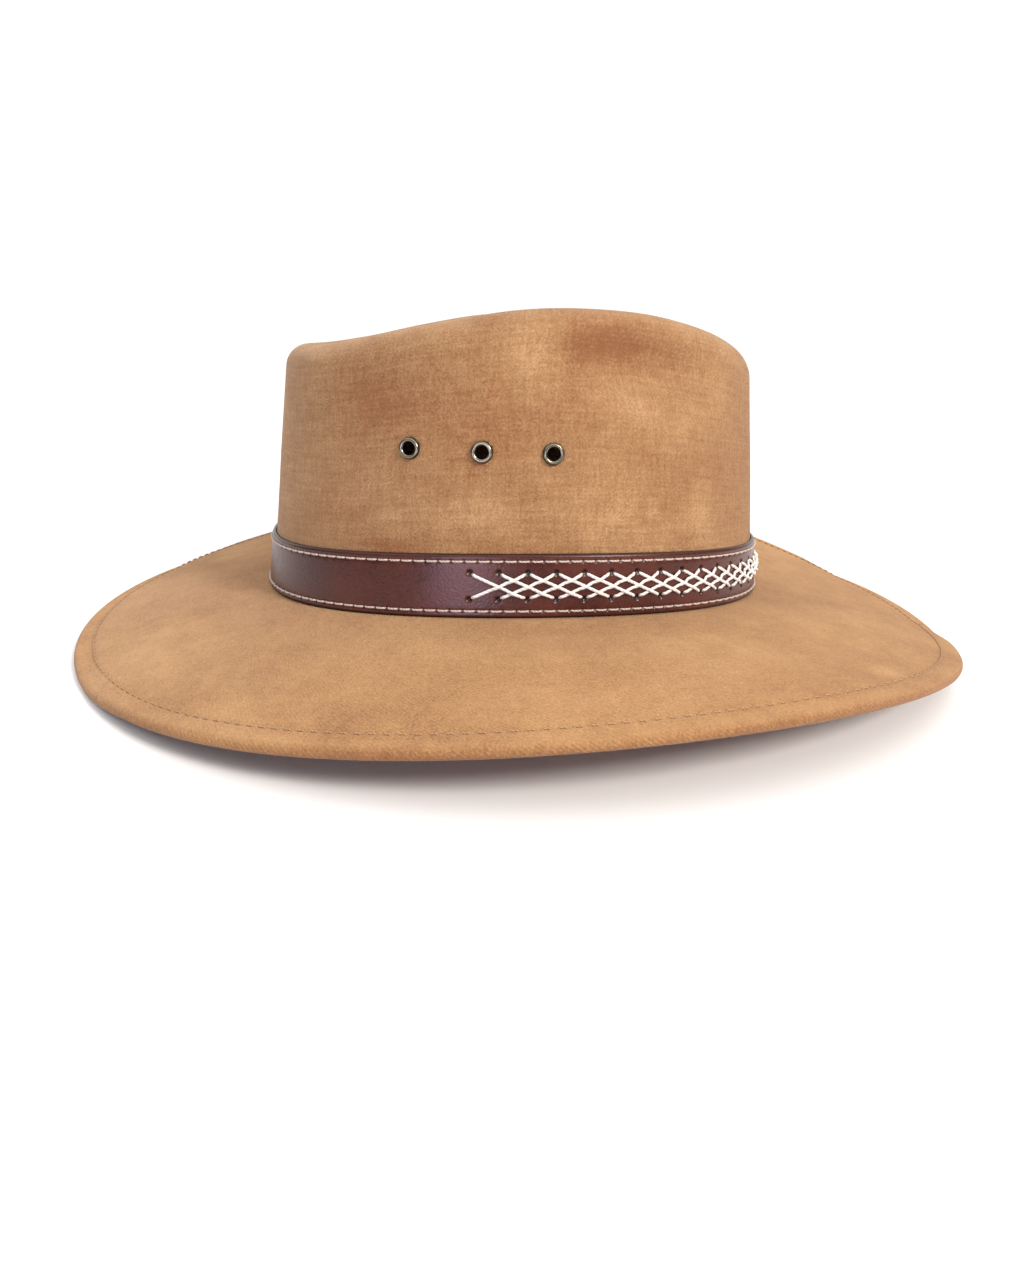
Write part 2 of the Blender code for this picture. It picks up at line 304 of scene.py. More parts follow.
    def brim_level(self, angle: np.ndarray, share: np.ndarray) -> np.ndarray:
        """Top and underside of the brim, from the seat (share 0) to the edge (share 1).

        The plan passes in proportion from the seat's oval to the edge's; the height falls straight
        from seat to edge with a sine camber, thickens at the hem and is pressed flat where it rests.

        Args:
            angle: angles round the hat.
            share: places between seat and edge.

        Returns:
            Array whose last axis holds x, y, top height and underside height.
        """
        seat = self.headline(angle)
        edge_top = self.brim_edge(angle) + self.hem_thickness
        margin = self.leather_wall + self.seat_clearances * self.clearance
        seat_length = self.head_length / 2 + margin
        seat_width = self.head_width / 2 + margin
        length = seat_length + (self.brim_length / 2 - seat_length) * share
        width = seat_width + (self.brim_width / 2 * self.fullness(angle) - seat_width) * share
        across, along = self.oval(angle, length, width, self.head_set_back * (1 - share))
        hem = self.hem_share()
        in_hem = smoothstep(1 - hem, 1 - self.hem_full * hem, share)
        thickness = self.brim_wall + (self.hem_thickness - self.brim_wall) * in_hem
        camber = self.brim_camber * np.sin(math.pi * share)
        top = seat + (edge_top - self.hem_relief - seat) * share + camber + self.hem_relief * in_hem
        drop = top - thickness - self.settle(top - thickness)
        return np.stack(np.broadcast_arrays(across, along, top - drop, top - thickness - drop), axis=-1)

    def hem_share(self) -> float:
        """Width of the hem as a share of the way from seat to edge."""
        return self.hem_width / self.brim_run()

    def brim_run(self) -> float:
        """Way from the seat to the brim's edge at the front."""
        gaps = self.seat_clearances * self.clearance
        return self.brim_length / 2 - self.head_length / 2 - self.leather_wall - gaps


@dataclass
class Patch:
    """A stretch of mesh: points, faces as flat corner indices, a UV for each corner, named values."""

    points: np.ndarray
    corners: np.ndarray
    sizes: np.ndarray
    uv: np.ndarray
    values: dict[str, np.ndarray] = field(default_factory=dict)


def grid_corners(rows: int, columns: int, close_rows: bool, flip: bool) -> tuple[np.ndarray, np.ndarray]:
    """Corners of a grid's faces, closed round its columns.

    Args:
        rows: rings of points.
        columns: points in each ring.
        close_rows: whether the last ring joins the first.
        flip: whether faces run the other way round.

    Returns:
        Point index of each corner, and its place in a grid one column (and row) wider, for UVs.
    """
    faces = rows if close_rows else rows - 1
    row, column = np.meshgrid(np.arange(faces), np.arange(columns), indexing="ij")
    steps = ((0, 0), (0, 1), (1, 1), (1, 0)) if flip else ((0, 0), (1, 0), (1, 1), (0, 1))
    points = [((row + down) % rows) * columns + (column + along) % columns for down, along in steps]
    places = [(row + down) * (columns + 1) + column + along for down, along in steps]
    return np.stack(points, axis=-1).reshape(-1), np.stack(places, axis=-1).reshape(-1)


def ring_patch(points: np.ndarray, uv: np.ndarray, values: dict[str, np.ndarray], flip: bool) -> Patch:
    """Closed ring of a closed section: a grid that joins up both ways.

    Args:
        points: rows of the section by stations round the ring, three coordinates each.
        uv: the same grid with one more row and column, in metres of cloth or leather.
        values: named value of each point.
        flip: whether faces run the other way round.

    Returns:
        The ring's mesh.
    """
    rows, columns = points.shape[:2]
    corners, places = grid_corners(rows, columns, True, flip)
    flat = {name: np.broadcast_to(value, (rows, columns)).reshape(-1) for name, value in values.items()}
    sizes = np.full(len(corners) // 4, 4)
    return Patch(points.reshape(-1, 3), corners, sizes, uv.reshape(-1, 2)[places], flat)


def shell_patch(outer: np.ndarray, inner: np.ndarray, poles: np.ndarray, uv: np.ndarray,
                values: dict[str, np.ndarray]) -> Patch:
    """Bowl with a wall: outer and inner grids from the foot to the crown's middle, joined at the foot.

    Args:
        outer: rows from the foot to near the pole by stations, three coordinates each.
        inner: the same grid on the wall's inner face.
        poles: the outer and the inner pole.
        uv: the outer grid's UVs with one more column.
        values: named value of each point of the outer grid, used on both faces.

    Returns:
        The bowl's mesh.
    """
    rows, columns = outer.shape[:2]
    count = rows * columns
    points = np.concatenate([outer.reshape(-1, 3), inner.reshape(-1, 3), poles])
    corners, places = grid_corners(rows, columns, False, False)
    flat_uv = uv.reshape(-1, 2)
    station = np.arange(columns)
    after = (station + 1) % columns
    last = (rows - 1) * columns
    fan_out = np.stack([last + station, np.full(columns, 2 * count), last + after], axis=-1).reshape(-1)
    fan_in = np.stack([count + last + after, np.full(columns, 2 * count + 1), count + last + station],
                      axis=-1)
    foot = np.stack([station, after, count + after, count + station], axis=-1).reshape(-1)
    inner_corners = count + corners.reshape(-1, 4)[:, ::-1].reshape(-1)
    inner_places = places.reshape(-1, 4)[:, ::-1].reshape(-1)
    fan_places = np.stack([(rows - 1) * (columns + 1) + station] * 3, axis=-1).reshape(-1)
    foot_places = np.stack([station, station + 1, station + 1, station], axis=-1).reshape(-1)
    all_corners = np.concatenate([corners, inner_corners, foot, fan_out, fan_in.reshape(-1)])
    all_places = np.concatenate([places, inner_places, foot_places, fan_places, fan_places])
    quads = (len(corners) * 2 + len(foot)) // 4
    sizes = np.concatenate([np.full(quads, 4), np.full(2 * columns, 3)])
    flat = {}
    for name, value in values.items():
        one = np.broadcast_to(value, (rows, columns)).reshape(-1)
        flat[name] = np.concatenate([one, one, one[-1:], one[-1:]])
    return Patch(points, all_corners, sizes, flat_uv[all_places], flat)


def tube_patch(paths: np.ndarray, outward: np.ndarray, radius: np.ndarray, sides: int,
               flatten: float = 1.0) -> Patch:
    """Round strands: at each point of each path a ring of the radius, square to the path.

    Args:
        paths: strands by points by three coordinates.
        outward: the direction off the surface at each point.
        radius: radius at each point of a strand.
        sides: corners of a ring.
        flatten: thickness off the surface as a share of the width along it.

    Returns:
        The strands' mesh, closed by a cap at each end.
    """
    count, length = paths.shape[:2]
    tangent = unit(np.gradient(paths, axis=1))
    across = unit(np.cross(tangent, outward))
    rise = np.cross(across, tangent)
    turn = np.arange(sides) * TURN / sides
    level = across[:, :, None] * np.cos(turn)[:, None]
    spoke = level + flatten * rise[:, :, None] * np.sin(turn)[:, None]
    points = paths[:, :, None] + spoke * radius[None, :, None, None]
    corners, places = grid_corners(length, sides, False, False)
    step = length * sides
    shift = (np.arange(count) * step)[:, None]
    steps = np.linalg.norm(np.diff(paths, axis=1), axis=2)
    along = np.concatenate([np.zeros((count, 1)), np.cumsum(steps, axis=1)], axis=1)
    girth = np.arange(sides + 1) / sides * TURN * radius.max()
    uv = np.stack(np.broadcast_arrays(along[:, :, None], girth), axis=-1).reshape(count, -1, 2)
    side_corners = (corners[None] + shift).reshape(-1)
    side_uv = uv[:, places].reshape(-1, 2)
    first = np.arange(sides)[None] + shift
    final = (length - 1) * sides + np.arange(sides)[::-1][None] + shift
    caps = np.concatenate([first, final], axis=1).reshape(-1)
    sizes = np.concatenate([np.full(len(side_corners) // 4, 4), np.full(2 * count, sides)])
    return Patch(points.reshape(-1, 3), np.concatenate([side_corners, caps]), sizes,
                 np.concatenate([side_uv, np.zeros((len(caps), 2))]), {})


def turned_patch(profile: np.ndarray, segments: int, place: Matrix, values: dict[str, np.ndarray]) -> Patch:
    """Turned ring: a closed profile carried round its axis, then set in its place.

    Args:
        profile: radius and height of each of its points.
        segments: stations round the axis.
        place: the ring's place, whose third axis it is turned about.
        values: named value of each point of the profile.

    Returns:
        The ring's mesh.
    """
    turn = np.arange(segments) * TURN / segments
    radius, rise = profile[:, 0][:, None], profile[:, 1][:, None]
    local = np.stack(np.broadcast_arrays(radius * np.cos(turn), radius * np.sin(turn), rise), axis=-1)
    turned = local @ np.array(place.to_3x3()).T + np.array(place.translation)
    rows = len(profile)
    around = np.arange(segments + 1) / segments * TURN * profile[:, 0].max()
    down = np.arange(rows + 1)[:, None] * PROFILE_STEP
    uv = np.stack(np.broadcast_arrays(around, down), axis=-1)
    flat = {name: np.repeat(value, segments).reshape(rows, segments) for name, value in values.items()}
    return ring_patch(turned, uv, flat, True)


def signed_volume(points: np.ndarray, corners: np.ndarray, sizes: np.ndarray) -> float:
    """Volume inside a closed mesh: a sixth of the triple product, summed over its faces' fans.

    Args:
        points: its points.
        corners: point index of each face's corners, one face after the other.
        sizes: corners of each face.

    Returns:
        The volume, below 0 when the faces point inwards.
    """
    starts = np.concatenate([[0], np.cumsum(sizes)[:-1]])
    total = 0.0
    for size in np.unique(sizes):
        faces = corners[starts[sizes == size][:, None] + np.arange(size)]
        hub = points[faces[:, 0]]
        for step in range(1, size - 1):
            first = points[faces[:, step]]
            second = points[faces[:, step + 1]]
            total += float(np.einsum("ij,ij->", hub, np.cross(first, second))) / 6
    return total


def make_piece(name: str, patch: Patch, material: bpy.types.Material,
               replaces: tuple[str, ...] = ()) -> bpy.types.Object:
    """Write a patch into a mesh object at the origin and put it on the frame.

    Args:
        name: the piece's name.
        patch: its points, faces, UVs and values.
        material: its finish.
        replaces: CAD nodes it stands for.

    Returns:
        The finished object.
    """
    mesh = bpy.data.meshes.new(name)
    mesh.vertices.add(len(patch.points))
    mesh.vertices.foreach_set("co", patch.points.astype(np.float32).reshape(-1))
    mesh.loops.add(len(patch.corners))
    mesh.loops.foreach_set("vertex_index", patch.corners.astype(np.int32))
    mesh.polygons.add(len(patch.sizes))
    starts = np.concatenate([[0], np.cumsum(patch.sizes)[:-1]])
    mesh.polygons.foreach_set("loop_start", starts.astype(np.int32))
    layer = mesh.uv_layers.new(name="cut")
    layer.data.foreach_set("uv", patch.uv.astype(np.float32).reshape(-1))
    for key, value in patch.values.items():
        attribute = mesh.attributes.new(key, "FLOAT", "POINT")
        attribute.data.foreach_set("value", value.astype(np.float32))
    mesh.update(calc_edges=True)
    if signed_volume(patch.points, patch.corners, patch.sizes) < 0:
        mesh.flip_normals()
    mesh.validate()
    mesh.shade_smooth()
    mesh.materials.append(material)
    piece = bpy.data.objects.new(name, mesh)
    bpy.context.scene.collection.objects.link(piece)
    if replaces:
        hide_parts(*replaces)
    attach(piece, BODY)
    log.info("%s: %d faces", name, len(mesh.polygons))
    return piece


def linear(colour: str) -> tuple[float, float, float, float]:
    """Turn an sRGB colour to linear.

    Args:
        colour: hex value such as c89b6e.

    Returns:
        Linear red, green, blue and an alpha of 1.
    """
    channels = [int(colour[place:place + 2], 16) / 255 for place in (0, 2, 4)]
    turned = [c / 12.92 if c <= 0.04045 else ((c + 0.055) / 1.055) ** 2.4 for c in channels]
    return (*turned, 1.0)


def add_node(tree: bpy.types.NodeTree, kind: str, values: dict[Any, Any],
             output: int | str = 0) -> bpy.types.NodeSocket:
    """Add a node with its settings and links.

    Args:
        tree: the material's node tree.
        kind: the node's type, without its ShaderNode prefix.
        values: by attribute name, or by input name or number; a socket is linked, all else is set.
        output: name or number of the output to hand back.

    Returns:
        That output socket.
    """
    node = tree.nodes.new("ShaderNode" + kind)
    for key, value in values.items():
        if isinstance(value, bpy.types.NodeSocket):
            tree.links.new(value, node.inputs[key])
        elif isinstance(key, str) and hasattr(node, key):
            setattr(node, key, value)
        else:
            node.inputs[key].default_value = value
    return node.outputs[output]


# Settings of a math node that multiplies, of one that adds a share (input 1) of one value (0) to another
# (2), and of a mix node that mixes colours, with the numbers of its inputs and its output.
PRODUCT = {"operation": "MULTIPLY"}
SHARE_ADDED = {"operation": "MULTIPLY_ADD"}
COLOURS = {"data_type": "RGBA"}
SHARE = 0
UNDER = 6
OVER = 7
MIXED = 2


def eased(low: float, high: float, to_low: float = 0.0, to_high: float = 1.0) -> dict[str, Any]:
    """Settings with which a map range eases from low to high, into another range."""
    return {"interpolation_type": "SMOOTHSTEP", "From Min": low, "From Max": high, "To Min": to_low,
            "To Max": to_high}


@dataclass(frozen=True)
class Mottle:
    """Noise of a finish: how many patches to the metre, how much finer detail and how rough that is."""

    scale: float
    detail: float = 3.0
    roughness: float = 0.55

    def on(self, vector: bpy.types.NodeSocket) -> dict[str, Any]:
        """Settings of the noise when it is read from a vector."""
        return {"Vector": vector, "Scale": self.scale, "Detail": self.detail, "Roughness": self.roughness}


def new_material(name: str,
                 values: dict[str, Any]) -> tuple[bpy.types.Material, bpy.types.NodeTree, bpy.types.Node]:
    """Make a material whose constant values are set on the shader's own sockets.

    Args:
        name: the material's name.
        values: value of each of the shader's sockets that isn't left at its default.

    Returns:
        The material, its node tree and its Principled shader.
    """
    material = bpy.data.materials.new(name)
    material.use_nodes = True
    shader = material.node_tree.nodes["Principled BSDF"]
    for key, value in values.items():
        shader.inputs[key].default_value = value
    return material, material.node_tree, shader


def blend_of(tree: bpy.types.NodeTree,
             parts: tuple[tuple[bpy.types.NodeSocket, float], ...]) -> bpy.types.NodeSocket:
    """Sum noises about a half, each given its weight, so that the sum is about a half again.

    Args:
        tree: the material's node tree.
        parts: each noise and its weight.

    Returns:
        The sum.
    """
    (first, first_weight), *others = parts
    total = add_node(tree, "Math", {**SHARE_ADDED, 0: first, 1: first_weight, 2: 0.5 - 0.5 * first_weight})
    for value, weight in others:
        centred = add_node(tree, "Math", {"operation": "SUBTRACT", 0: value, 1: 0.5})
        total = add_node(tree, "Math", {**SHARE_ADDED, 0: centred, 1: weight, 2: total})
    return total


def relieve(tree: bpy.types.NodeTree, shader: bpy.types.Node,
            layers: tuple[tuple[bpy.types.NodeSocket, float, float], ...]) -> None:
    """Lay reliefs over one another and link the last to the shader.

    Args:
        tree: the material's node tree.
        shader: the shader.
        layers: each relief's height, the depth in millimetres that a height of 1 stands for, its strength.
    """
    under = {}
    for height, depth, strength in layers:
        settings = {"Height": height, "Distance": depth * MM, "Strength": strength}
        under = {"Normal": add_node(tree, "Bump", {**settings, **under})}
    tree.links.new(under["Normal"], shader.inputs["Normal"])


def diagonal(pitch: float) -> float:
    """Scale of a diagonal wave texture whose bands lie a pitch apart: it turns ten times a unit."""
    return TURN / (10 * math.sqrt(2) * pitch)


@dataclass(frozen=True)
class SuedeCloth:
    """Brushed suede cloth: a twill microfibre with a short nap.

    The nap gives a matt face with a soft sheen, mottled where it has been stroked to and fro, and the yarns
    show as fine streaks along the hat.
    Painted shade and painted light darken and pale it where a piece's values say, as in the crown's pinches
    and on the brim's turned-under cloth;
    it is paler along the crown's rim as a painted highlight, and where the brim's edges are handled.
    stroked areas lie about 59 and 17 mm apart, the tufts 4 mm and the grain 0.8 mm. Real twill has two
    or three ribs to the millimetre; it is drawn at 1 mm, as coarse as it needs to show.
    """

    name: str
    pale: str
    mid: str
    deep: str
    # Paler colour: a painted highlight on the crown's rim, and wear on the brim's edge.
    worn_and_lit: str
    weave: float
    bloom: str = "f4e0cb"
    streak_run: float = 22 * MM
    streak_pitch: float = 1.3 * MM
    twill_pitch: float = 1.0 * MM
    slow: Mottle = Mottle(17.0, 2.0, 0.5)
    patches: Mottle = Mottle(60.0)
    tufts: Mottle = Mottle(260.0, 3.0, 0.6)
    grain: Mottle = Mottle(1 / (0.8 * MM), 3.0, 0.7)
    speckle: Mottle = Mottle(1 / (0.5 * MM), 2.0, 0.7)
    yarn: Mottle = Mottle(1.0, 2.0)

    def material(self) -> bpy.types.Material:
        """Dress the cloth: nap colour from slow and quick noise, painted shade and light from the piece's
        values, streaks, and relief from grain and twill.

        Returns:
            The cloth's material.
        """
        material, tree, shader = new_material(self.name, {
            "Roughness": 0.92, "Sheen Weight": 0.26, "Sheen Roughness": 0.45,
            "Sheen Tint": linear(self.bloom), "Specular IOR Level": 0.25, "IOR": 1.45})
        place = add_node(tree, "TexCoord", {}, "Object")
        cut = add_node(tree, "UVMap", {"uv_map": "cut"}, "UV")
        slow, patches, tufts, grain, speckle = (
            add_node(tree, "TexNoise", mottle.on(place), "Fac")
            for mottle in (self.slow, self.patches, self.tufts, self.grain, self.speckle))
        runs = ((1 / self.streak_run, 1 / self.streak_pitch, 1.0),
                (1 / self.streak_pitch, 2 / self.streak_run, 1.0))
        drawn = [add_node(tree, "Mapping", {"Vector": cut, "Scale": run}) for run in runs]
        streaks, warp = (add_node(tree, "TexNoise", self.yarn.on(vector), "Fac") for vector in drawn)
        twill = add_node(tree, "TexWave", {
            "wave_type": "BANDS", "bands_direction": "DIAGONAL", "Vector": cut, "Distortion": 1.0,
            "Scale": diagonal(self.twill_pitch), "Detail": 1.0, "Detail Scale": 2.0}, "Fac")
        nap, turned, wear_and_highlight = (add_node(tree, "Attribute", {"attribute_name": value}, "Fac")
                             for value in ("nap", "turned", "wear_and_highlight"))
        tone = blend_of(tree, ((slow, 0.8), (patches, 0.6), (tufts, 0.45), (streaks, 0.4 * self.weave),
                               (warp, 0.3 * self.weave), (grain, 1.4)))
        patchy = add_node(tree, "MapRange", {**eased(0.3, 0.7, 0.4, 1.4), "Value": patches})
        # Painted shade and painted light from the piece's patches, mixed with stroked nap and eased by the
        # patches noise.
        stroke_and_shade = add_node(tree, "Math", {**PRODUCT, 0: nap, 1: patchy})
        tone = add_node(tree, "Math", {**SHARE_ADDED, 0: stroke_and_shade, 1: 1.0, 2: tone})
        dark = add_node(tree, "MapRange", {**eased(0.0, 0.62), "Value": tone})
        light = add_node(tree, "MapRange", {**eased(0.5, 0.95), "Value": tone})
        # Painted shade on the turned-under cloth: its twill furrows go to the deep colour.
        under_twill_shade = add_node(tree, "MapRange", {**eased(0.7, 0.2), "Value": twill})
        under_twill_shade = add_node(tree, "Math", {**PRODUCT, 0: turned, 1: under_twill_shade})
        # Paler where the piece says: a painted highlight along the crown's rim, and wear along the brim's
        # edge.
        lightened = add_node(tree, "MapRange", {**eased(0.25, 0.6), "Value": patches})
        lightened = add_node(tree, "Math", {**PRODUCT, 0: wear_and_highlight, 1: lightened})
        colour = linear(self.deep)
        for share, over in ((dark, self.mid), (light, self.pale), (under_twill_shade, self.deep), (lightened, self.worn_and_lit)):
            ends = {UNDER: colour, OVER: linear(over)}
            colour = add_node(tree, "Mix", {**COLOURS, SHARE: share, **ends}, MIXED)
        yarns = 0.25 * self.weave
        threads = add_node(tree, "Math", {**SHARE_ADDED, 0: warp, 1: 1.0, 2: streaks})
        fleck_and_shade = add_node(tree, "Math", {**SHARE_ADDED, 0: threads, 1: yarns, 2: speckle})
        fleck_and_shade = add_node(tree, "MapRange", {**eased(0.2 + yarns, 0.8 + yarns, 0.84, 1.14), "Value": fleck_and_shade})
        # Painted shade: the turned-under cloth is made darker still.
        fleck_and_shade = add_node(tree, "Math", {**SHARE_ADDED, 0: turned, 1: -0.20, 2: fleck_and_shade})
        colour = add_node(tree, "HueSaturation", {"Value": fleck_and_shade, "Color": colour})
        tree.links.new(colour, shader.inputs["Base Color"])
        relieve(tree, shader, ((twill, 0.12, 0.6), (streaks, 0.12, 0.5), (grain, 0.5, 0.8),
                               (tufts, 0.5, 0.35)))
        return material


@dataclass(frozen=True)
class BandLeather:
    """Smooth chromed leather, dyed chocolate and lightly waxed: fine pores under a soft gloss.

    The dye clouds about 25 mm apart and scuffs about 2 mm apart.
    """

    name: str
    deep: str
    warm: str
    edge: str
    shadow: str = "0c0605"
    pore: float = 0.8 * MM
    clouds: Mottle = Mottle(40.0)
    scuffs: Mottle = Mottle(500.0)

    def material(self) -> bpy.types.Material:
        """Dress the leather: dye from slow noise, dark edges and holes from the piece's values, pores.

        Returns:
            The leather's material.
        """
        material, tree, shader = new_material(self.name, {"IOR": 1.5, "Specular IOR Level": 0.36})
        place = add_node(tree, "TexCoord", {}, "Object")
        clouds = add_node(tree, "TexNoise", self.clouds.on(place), "Fac")
        scuffs = add_node(tree, "TexNoise", self.scuffs.on(place), "Fac")
        pores = {"feature": "SMOOTH_F1", "Vector": place, "Scale": 1 / self.pore}
        pores = add_node(tree, "TexVoronoi", pores, "Distance")
        edge, hole = (add_node(tree, "Attribute", {"attribute_name": value}, "Fac")
                      for value in ("edge", "hole"))
        dye = add_node(tree, "Math", {**SHARE_ADDED, 0: scuffs, 1: 0.4, 2: clouds})
        dye = add_node(tree, "MapRange", {**eased(0.45, 0.9), "Value": dye})
        colour = linear(self.deep)
        for share, over in ((dye, self.warm), (edge, self.edge), (hole, self.shadow)):
            ends = {UNDER: colour, OVER: linear(over)}
            colour = add_node(tree, "Mix", {**COLOURS, SHARE: share, **ends}, MIXED)
        tree.links.new(colour, shader.inputs["Base Color"])
        wax = add_node(tree, "Math", {**SHARE_ADDED, 0: scuffs, 1: 0.6, 2: clouds})
        wax = add_node(tree, "MapRange", {**eased(0.4, 1.1, 0.23, 0.36), "Value": wax})
        tree.links.new(wax, shader.inputs["Roughness"])
        relieve(tree, shader, ((pores, 0.14, 0.4), (scuffs, 0.10, 0.3)))
        return material


@dataclass(frozen=True)
class AgedBrass:
    """Stamped brass, aged dark and rubbed bright on its dome: a metal with a patina in its corners."""

    name: str
    bright: str
    patina: str
    spots: Mottle = Mottle(900.0)

    def material(self) -> bpy.types.Material:
        """Dress the brass: patina from the piece's own value and spots about 1 mm apart, over bright metal.

        Returns:
            The brass's material.
        """
        material, tree, shader = new_material(self.name, {"Metallic": 1.0})
        place = add_node(tree, "TexCoord", {}, "Object")
        spots = add_node(tree, "TexNoise", self.spots.on(place), "Fac")
        corner = add_node(tree, "Attribute", {"attribute_name": "patina"}, "Fac")
        spotted = add_node(tree, "MapRange", {**eased(0.45, 0.8), "Value": spots})
        dark = add_node(tree, "Math", {**SHARE_ADDED, 0: spotted, 1: 0.35, 2: corner})
        ends = {UNDER: linear(self.bright), OVER: linear(self.patina)}
        colour = add_node(tree, "Mix", {**COLOURS, SHARE: dark, **ends}, MIXED)
        tree.links.new(colour, shader.inputs["Base Color"])
        dulled = add_node(tree, "MapRange", {**eased(0.0, 1.0, 0.24, 0.55), "Value": dark})
        tree.links.new(dulled, shader.inputs["Roughness"])
        relieve(tree, shader, ((spots, 0.05, 0.3),))
        return material


@dataclass(frozen=True)
class TwistedThread:
    """Waxed polyester laid from plies: matt, with the plies winding round it as slanted furrows."""

    name: str
    pale: str
    deep: str
    ply_pitch: float
    fuzz: Mottle = Mottle(1500.0, 2.0)

    def material(self) -> bpy.types.Material:
        """Dress the thread: slanted waves on the strand's own UVs, with a little fuzz.

        Returns:
            The thread's material.
        """
        material, tree, shader = new_material(self.name, {
            "Roughness": 0.75, "Sheen Weight": 0.15, "Specular IOR Level": 0.3})
        cut = add_node(tree, "UVMap", {"uv_map": "cut"}, "UV")
        place = add_node(tree, "TexCoord", {}, "Object")
        plies = add_node(tree, "TexWave", {
            "wave_type": "BANDS", "bands_direction": "DIAGONAL", "Vector": cut,
            "Scale": diagonal(self.ply_pitch), "Distortion": 0.4}, "Fac")
        fuzz = add_node(tree, "TexNoise", self.fuzz.on(place), "Fac")
        tone = add_node(tree, "Math", {**SHARE_ADDED, 0: fuzz, 1: 0.8, 2: plies})
        tone = add_node(tree, "MapRange", {**eased(0.2, 1.1), "Value": tone})
        ends = {UNDER: linear(self.deep), OVER: linear(self.pale)}
        colour = add_node(tree, "Mix", {**COLOURS, SHARE: tone, **ends}, MIXED)
        tree.links.new(colour, shader.inputs["Base Color"])
        relieve(tree, shader, ((plies, 0.12, 0.5), (fuzz, 0.08, 0.4)))
        return material


@dataclass(frozen=True)
class Girth:
    """Way round the hat along a level line, measured from the front by the wearer's right side."""

    angles: np.ndarray
    ways: np.ndarray

    @classmethod
    def along(cls, line: Callable[[np.ndarray], np.ndarray], samples: int = 4096) -> "Girth":
        """Measure a closed line.

        Args:
            line: gives its points by angle.
            samples: steps it is measured in.

        Returns:
            The line's girth.
        """
        angles = np.linspace(0, TURN, samples + 1)
        steps = np.linalg.norm(np.diff(line(angles), axis=0), axis=1)
        return cls(angles, np.concatenate([[0.0], np.cumsum(steps)]))

    @property
    def length(self) -> float:
        """Whole way round."""
        return float(self.ways[-1])

    def angle(self, way: np.ndarray) -> np.ndarray:
        """Angle at a way round, which may pass the front either way."""
        return np.interp(np.mod(way, self.length), self.ways, self.angles)

    def way(self, angle: np.ndarray) -> np.ndarray:
        """Way round at an angle."""
        return np.interp(np.mod(angle, TURN), self.angles, self.ways)


@dataclass(frozen=True)
class NapShadePatch:
    """Patch painted darker or paler, for stroked nap and for painted shade and painted light: where it
    lies, how far it reaches, and its strength.

    The angle goes round from the front on either side. The place is a height in metres on the crown and
    a share of the way from seat to edge on the brim. A strength below 0 is darker.
    """

    angle: float
    place: float
    reach_angle: float
    reach_place: float
    strength: float


def nap_and_shade_sum(patches: tuple[NapShadePatch, ...], angle: np.ndarray, place: np.ndarray) -> np.ndarray:
    """Sum of the patches: each is its strength times a bell round the hat times a bell across it."""
    turn = np.abs(np.mod(angle + math.pi, TURN) - math.pi)
    return sum(patch.strength * bell(turn - math.radians(patch.angle), math.radians(patch.reach_angle))
               * bell(place - patch.place, patch.reach_place) for patch in patches)


@dataclass(frozen=True)
class EyeletPlan:
    """Row of three eyelets on each side of the crown."""

    height: float = 81.3 * MM
    pitch: float = 23.1 * MM
    middle_set_back: float = 22.7 * MM
    flange_radius: float = 3.6 * MM
    hole_radius: float = 2.0 * MM
    barrel_radius: float = 2.7 * MM
    dome_rise: float = 1.05 * MM
    dome_foot: float = 0.12 * MM
    flange_undercut: float = 0.15 * MM
    washer_rise: float = 0.5 * MM
    washer_foot: float = 0.1 * MM
    turns_to_settle: int = 6

    def places(self, form: HatForm) -> list[tuple[str, Matrix]]:
        """Set each eyelet on the crown, with its axis square to the wall.

        Its angle is found by turns from its set-back, as the oval shrinks a little where it sits.

        Args:
            form: the hat's form.

        Returns:
            Node name and place of each eyelet.
        """
        found = []
        probe = math.radians(1.0)
        for number in range(3):
            back = self.middle_set_back + (number - 1) * self.pitch
            angle = math.pi / 2
            for _ in range(self.turns_to_settle):
                drawn = form.crown_end_lean * (self.height - form.headline(angle))
                angle = math.acos(-back / (form.head_length / 2 - drawn))
            ring = form.crown_point(np.array([angle - probe, angle, angle + probe]), 0.0, self.height)
            column = form.crown_point(angle, 0.0, np.array([self.height - MM, self.height + MM]))
            normal = np.cross(ring[2] - ring[0], column[1] - column[0])
            normal = normal * np.sign(-normal[0])
            for side in Side:
                mirror = np.array([side.value, 1, 1])
                outward = Vector(normal * mirror).normalized()
                sideways = Vector((0, 0, 1)).cross(outward).normalized()
                place = Matrix((sideways, outward.cross(sideways), outward)).transposed().to_4x4()
                place.translation = ring[1] * mirror
                found.append((f"eyelet_{side.name.lower()}_{number + 1}", place))
        return found


